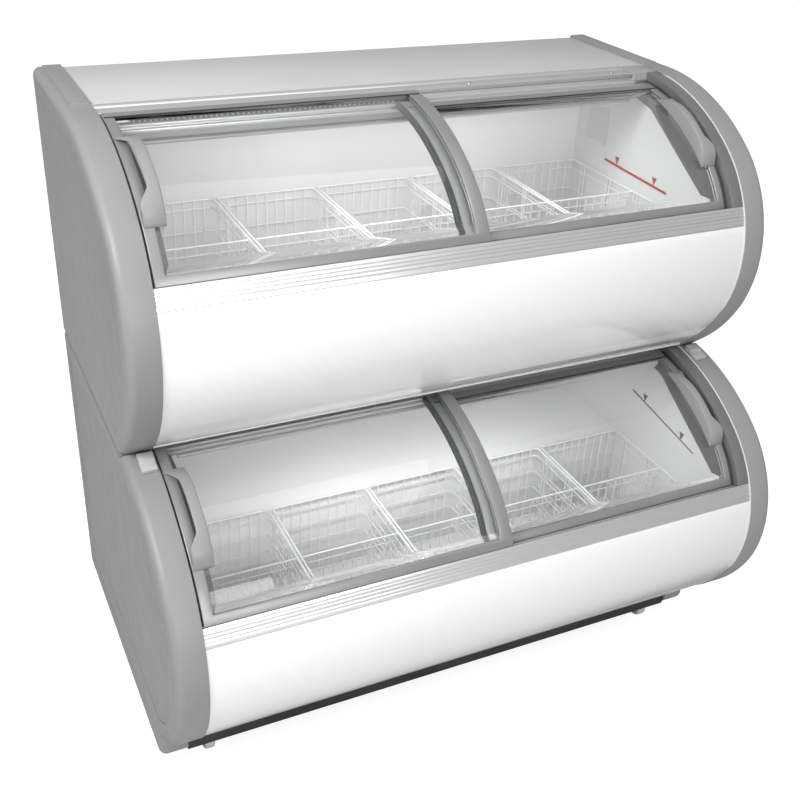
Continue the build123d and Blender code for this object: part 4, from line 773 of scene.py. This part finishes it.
class FREEZER_OT_baskets(bpy.types.Operator):
    """Build the wire baskets with their dividers"""

    bl_idname = "freezer.baskets"
    bl_label = "Baskets"

    def execute(self, context):
        for tier in TIERS:
            for k in range(5):
                self.basket(context.scene.freezer_sizes, tier, f"basket_{tier}_{k + 1}")
        return {"FINISHED"}

    def basket(self, sizes, tier, node):
        """One basket: rim, loops, hoops along and across, and a divider."""
        low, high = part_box(node)
        thick, thin, bend = sizes.rim_wire, sizes.mesh_wire, sizes.wire_bend
        rise, drop, spread, beside = 0.110, 0.018, 0.006, 0.004
        x0, x1 = low.x + thick, high.x - thick
        rear, front = high.y - thick, low.y + thick
        foot, rim = low.z + thin, high.z - thick
        toe = front + (0.0755 if tier == "upper" else 0.0824)
        knee = foot + rise
        step = rim - drop

        def front_at(z):
            """Depth line of the slanted front at a height."""
            return front if z >= knee else toe + (front - toe) * (z - foot) / (knee - foot)

        def loop(z, inset=0.0):
            """Level loop round the basket."""
            near = front_at(z) + inset
            return [Vector(p) for p in ((x0 + inset, near, z), (x1 - inset, near, z),
                                        (x1 - inset, rear - inset, z), (x0 + inset, rear - inset, z))]

        heavy = [(loop(rim), True)]
        light = [(loop(step, thin), True)]
        light += [(loop(foot + (step - foot) * share, thin), True) for share in (0.0, 0.25, 0.5, 0.75)]
        inner = thick + thin
        columns = 9
        for k in range(columns):
            x = x0 + (x1 - x0) * (k + 1) / (columns + 1)
            light.append(([Vector(p) for p in (
                (x, front + inner, rim), (x, front + inner, knee), (x, toe + inner, foot + 2 * thin),
                (x, rear - inner, foot + 2 * thin), (x, rear - inner, rim))], False))
        run = rear - toe
        pairs = 4 if tier == "upper" else 3
        for k in range(pairs):
            for side in (-1, 1):
                y = rear - run * (k + 0.5) / pairs + side * spread
                light.append(([Vector(p) for p in (
                    (x0 + inner, y, rim), (x0 + inner, y, foot + 2 * thin),
                    (x1 - inner, y, foot + 2 * thin), (x1 - inner, y, rim))], False))
        middle = (rear + front) / 2
        heavy.append(([Vector((x, middle, rim)) for x in (x0 + inner, x1 - inner)], False))
        light += [([Vector((x0 + 2 * inner, middle, z)), Vector((x1 - 2 * inner, middle, z))], False)
                  for z in (step, foot + (step - foot) * 0.5, foot + 4 * thin)]
        light += [([Vector((x0 + (x1 - x0) * (k + 1) / (columns + 1) + beside, middle, z))
                    for z in (rim, foot + 3 * thin)], False) for k in range(columns)]
        meshes = [run_tree(trees["wires"], line_mesh(paths), Radius=radius, Bend=bend, Sides=sides,
                           Material=finishes["wire"])
                  for paths, radius, sides in ((heavy, thick, 8), (light, thin, 6))]
        piece(node + "_wires", joined(meshes), node, finishes["wire"], (node,), 60.0)


class FREEZER_OT_base(bpy.types.Operator):
    """Soften the base and the casters, and lap the lower front panel over the base"""

    bl_idname = "freezer.base"
    bl_label = "Base and casters"

    def execute(self, context):
        soften("base_frame", finishes["base"], 0.0005)
        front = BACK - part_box("base_frame")[0].y
        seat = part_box("base_frame")[1].z - FEET
        profile = [(front + out, seat + up) for out, up in (
            (0.0004, 0.002), (0.0016, 0.0022), (0.0026, 0.0), (0.0026, -0.0120), (0.0014, -0.0128),
            (0.0004, -0.0120))]
        edge = RIM_INNER - 0.002
        piece("front_panel_lap", loft([[at(x, *point) for point in profile] for x in (-edge, edge)]),
              "cabinet", finishes["front_panel"], smooth=30.0)
        for row in ("front", "rear"):
            for hand in HANDS:
                soften(f"caster_fork_{row}_{hand}", finishes["steel"], 0.0004)
                soften(f"caster_wheel_{row}_{hand}", finishes["tread"], 0.0006)
        return {"FINISHED"}


class FREEZER_OT_machine(bpy.types.Operator):
    """Soften the machine room's pieces and press the grille's louvres"""

    bl_idname = "freezer.machine"
    bl_label = "Machine room"

    def execute(self, context):
        for node, look, bevel in (
                ("rear_grille", "grille", 0.0003), ("compressor", "compressor", 0.0015),
                ("condenser", "fins", 0.0), ("fan_motor", "fan_steel", 0.0004),
                ("fan_blades", "fan_plastic", 0.0004), ("refrigerant_pipes", "copper", 0.0),
                ("control_box", "box", 0.0006), ("power_switch", "switch", 0.0006),
                ("power_inlet", "inlet", 0.0004)):
            soften(node, finishes[look], bevel)
        self.louvres()
        return {"FINISHED"}

    def louvres(self):
        """Pressed hoods over the grille's slots."""
        low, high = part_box("rear_grille")
        face = BACK - high.y
        length, reach, rise = 0.076, 0.0045, 0.0055
        profile = [(0.0, rise), (-reach * 0.7, rise * 0.6), (-reach, -rise * 0.2),
                   (-reach * 0.85, -rise * 0.3), (-reach * 0.55, rise * 0.45), (0.0, rise * 0.8)]
        rings = [[(x, z * share, -y * share) for y, z in profile]
                 for x, share in ((-length, 0.15), (-length * 0.95, 0.8), (-length * 0.9, 1.0),
                                  (length * 0.9, 1.0), (length * 0.95, 0.8), (length, 0.15))]
        shape = bpy.data.objects.new("louvre_shape", loft(rings))
        bpy.context.scene.collection.objects.link(shape)
        pitch, row_pitch, slot_gap = 0.225, 0.020, 0.0079
        middle = (low.z + high.z) / 2 - slot_gap / 2 - FEET
        points = [at((k - 1.5) * pitch, face, middle + (row - 4) * row_pitch + 0.0035)
                  for k in range(4) for row in range(9)]
        on_points("louvres", points, shape, (0, 1, 0), finishes["grille"])
        bpy.data.objects.remove(shape)


class FREEZER_OT_stage(bpy.types.Operator):
    """Set the floor, the lamps and the camera"""

    bl_idname = "freezer.stage"
    bl_label = "Stage"

    def execute(self, context):
        levels_now = context.scene.freezer_stage
        self.floor()
        self.sky(levels_now.sky)
        self.lamp("key_lamp", (-0.6, -4.3, 2.0), (-0.1, -0.2, 0.6), 2.5, levels_now.key)
        self.lamp("fill_lamp", (-2.4, -0.9, 2.9), (-0.65, -0.1, 1.0), 1.2, levels_now.fill)
        self.lamp("top_lamp", (-0.3, -0.8, 3.1), (-0.1, 0.1, 1.2), 2.6, levels_now.top)
        length, depth = 0.65, 0.02
        for tier, (forward, down) in TIERS.items():
            place = at(0, CROWN_START + forward + 0.050, 1.136 - down)
            target = at(0, 0.25 + forward, 0.80 - down)
            self.lamp(f"tank_lamp_{tier}", place, target, length, levels_now.tank, depth)
        self.camera()
        context.scene.view_settings.view_transform = "Standard"
        return {"FINISHED"}

    def floor(self):
        """Plain pale floor, white to the camera, that keeps the object's shadow."""
        size, to_camera = 30.0, 0.8
        mesh = bpy.data.meshes.new("floor")
        mesh.from_pydata([(-size, -size, 0), (size, -size, 0), (size, size, 0), (-size, size, 0)], [],
                         [(0, 1, 2, 3)])
        mesh.materials.append(finish("floor_white", (0.55, 0.55, 0.55), 0.9, spread=0.01, patch=1,
                                     grain=40, bump=0.01))
        tree = mesh.materials[0].node_tree
        shader = tree.nodes["Principled BSDF"]
        glow = add_node(tree, "ShaderNodeEmission")
        path = add_node(tree, "ShaderNodeLightPath")
        part = add_node(tree, "ShaderNodeMath", {"operation": "MULTIPLY"})
        plug(tree, part.inputs[0], path.outputs["Is Camera Ray"])
        part.inputs[1].default_value = to_camera
        plug(tree, glow.inputs["Strength"], part.outputs[0])
        both = add_node(tree, "ShaderNodeAddShader")
        plug(tree, both.inputs[0], shader.outputs["BSDF"])
        plug(tree, both.inputs[1], glow.outputs["Emission"])
        plug(tree, tree.nodes["Material Output"].inputs["Surface"], both.outputs["Shader"])
        floor = bpy.data.objects.new("floor", mesh)
        bpy.context.scene.collection.objects.link(floor)

    def sky(self, strength):
        """Even pale light from all round, white to the camera and through glass."""
        world = bpy.data.worlds.new("studio")
        bpy.context.scene.world = world
        world.use_nodes = True
        tree = world.node_tree
        background = tree.nodes["Background"]
        path = add_node(tree, "ShaderNodeLightPath")
        both = add_node(tree, "ShaderNodeMath", {"operation": "MAXIMUM"})
        plug(tree, both.inputs[0], path.outputs["Is Camera Ray"])
        plug(tree, both.inputs[1], path.outputs["Is Transmission Ray"])
        plug(tree, background.inputs["Strength"], levels(tree, both.outputs[0], strength, 1.0, (0, 1)))
        background.inputs["Color"].default_value = (1, 1, 1, 1)

    def lamp(self, name, place, target, size, power, depth=None):
        """Soft lamp, square, or long with a depth."""
        light = bpy.data.lights.new(name, "AREA")
        light.size, light.energy = size, power
        if depth:
            light.shape, light.size_y = "RECTANGLE", depth
        obj = bpy.data.objects.new(name, light)
        obj.location = place
        obj.rotation_euler = (Vector(place) - Vector(target)).to_track_quat("Z", "Y").to_euler()
        obj.visible_camera = False
        obj.visible_glossy = obj.visible_transmission = not depth
        bpy.context.scene.collection.objects.link(obj)

    def camera(self):
        """Camera at the photograph's place, with its view."""
        right = Vector((0.90416, -0.42487, 0.04454)).normalized()
        ahead = Vector((0.38878, 0.77517, -0.49797)).normalized()
        right = (right - ahead * right.dot(ahead)).normalized()
        up = right.cross(ahead)
        camera = bpy.data.cameras.new("camera")
        camera.lens, camera.sensor_width = 48.88, 36.0
        obj = bpy.data.objects.new("camera", camera)
        turned = Matrix((right, up, -ahead)).transposed().to_4x4()
        obj.matrix_world = Matrix.Translation((-0.93543, -1.79752, 1.78204)) @ turned
        bpy.context.scene.collection.objects.link(obj)
        bpy.context.scene.camera = obj


STEPS = (FREEZER_OT_finishes, FREEZER_OT_cabinet, FREEZER_OT_screws, FREEZER_OT_doors, FREEZER_OT_tanks,
         FREEZER_OT_baskets, FREEZER_OT_base, FREEZER_OT_machine, FREEZER_OT_stage)


class FREEZER_PT_panel(bpy.types.Panel):
    """Lists the freezer's pieces in the 3D view's sidebar"""

    bl_idname = "FREEZER_PT_panel"
    bl_label = "Display freezer"
    bl_space_type = "VIEW_3D"
    bl_region_type = "UI"
    bl_category = "Freezer"

    def draw(self, context):
        for step in STEPS:
            self.layout.operator(step.bl_idname)
        for group in (context.scene.freezer_sizes, context.scene.freezer_colours,
                      context.scene.freezer_stage):
            box = self.layout.box()
            for key in group.__annotations__:
                box.prop(group, key)


GROUPS = {"freezer_sizes": FreezerSizes, "freezer_colours": FreezerColours, "freezer_stage": FrameStage}


def register():
    for cls in (*GROUPS.values(), *STEPS, FREEZER_PT_panel):
        bpy.utils.register_class(cls)
    for key, group in GROUPS.items():
        setattr(bpy.types.Scene, key, bpy.props.PointerProperty(type=group))


def unregister():
    for key in GROUPS:
        delattr(bpy.types.Scene, key)
    for cls in reversed((*GROUPS.values(), *STEPS, FREEZER_PT_panel)):
        bpy.utils.unregister_class(cls)


def main():
    register()
    for step in STEPS:
        group, action = step.bl_idname.split(".")
        getattr(getattr(bpy.ops, group), action)()


if __name__ == "__main__":
    main()
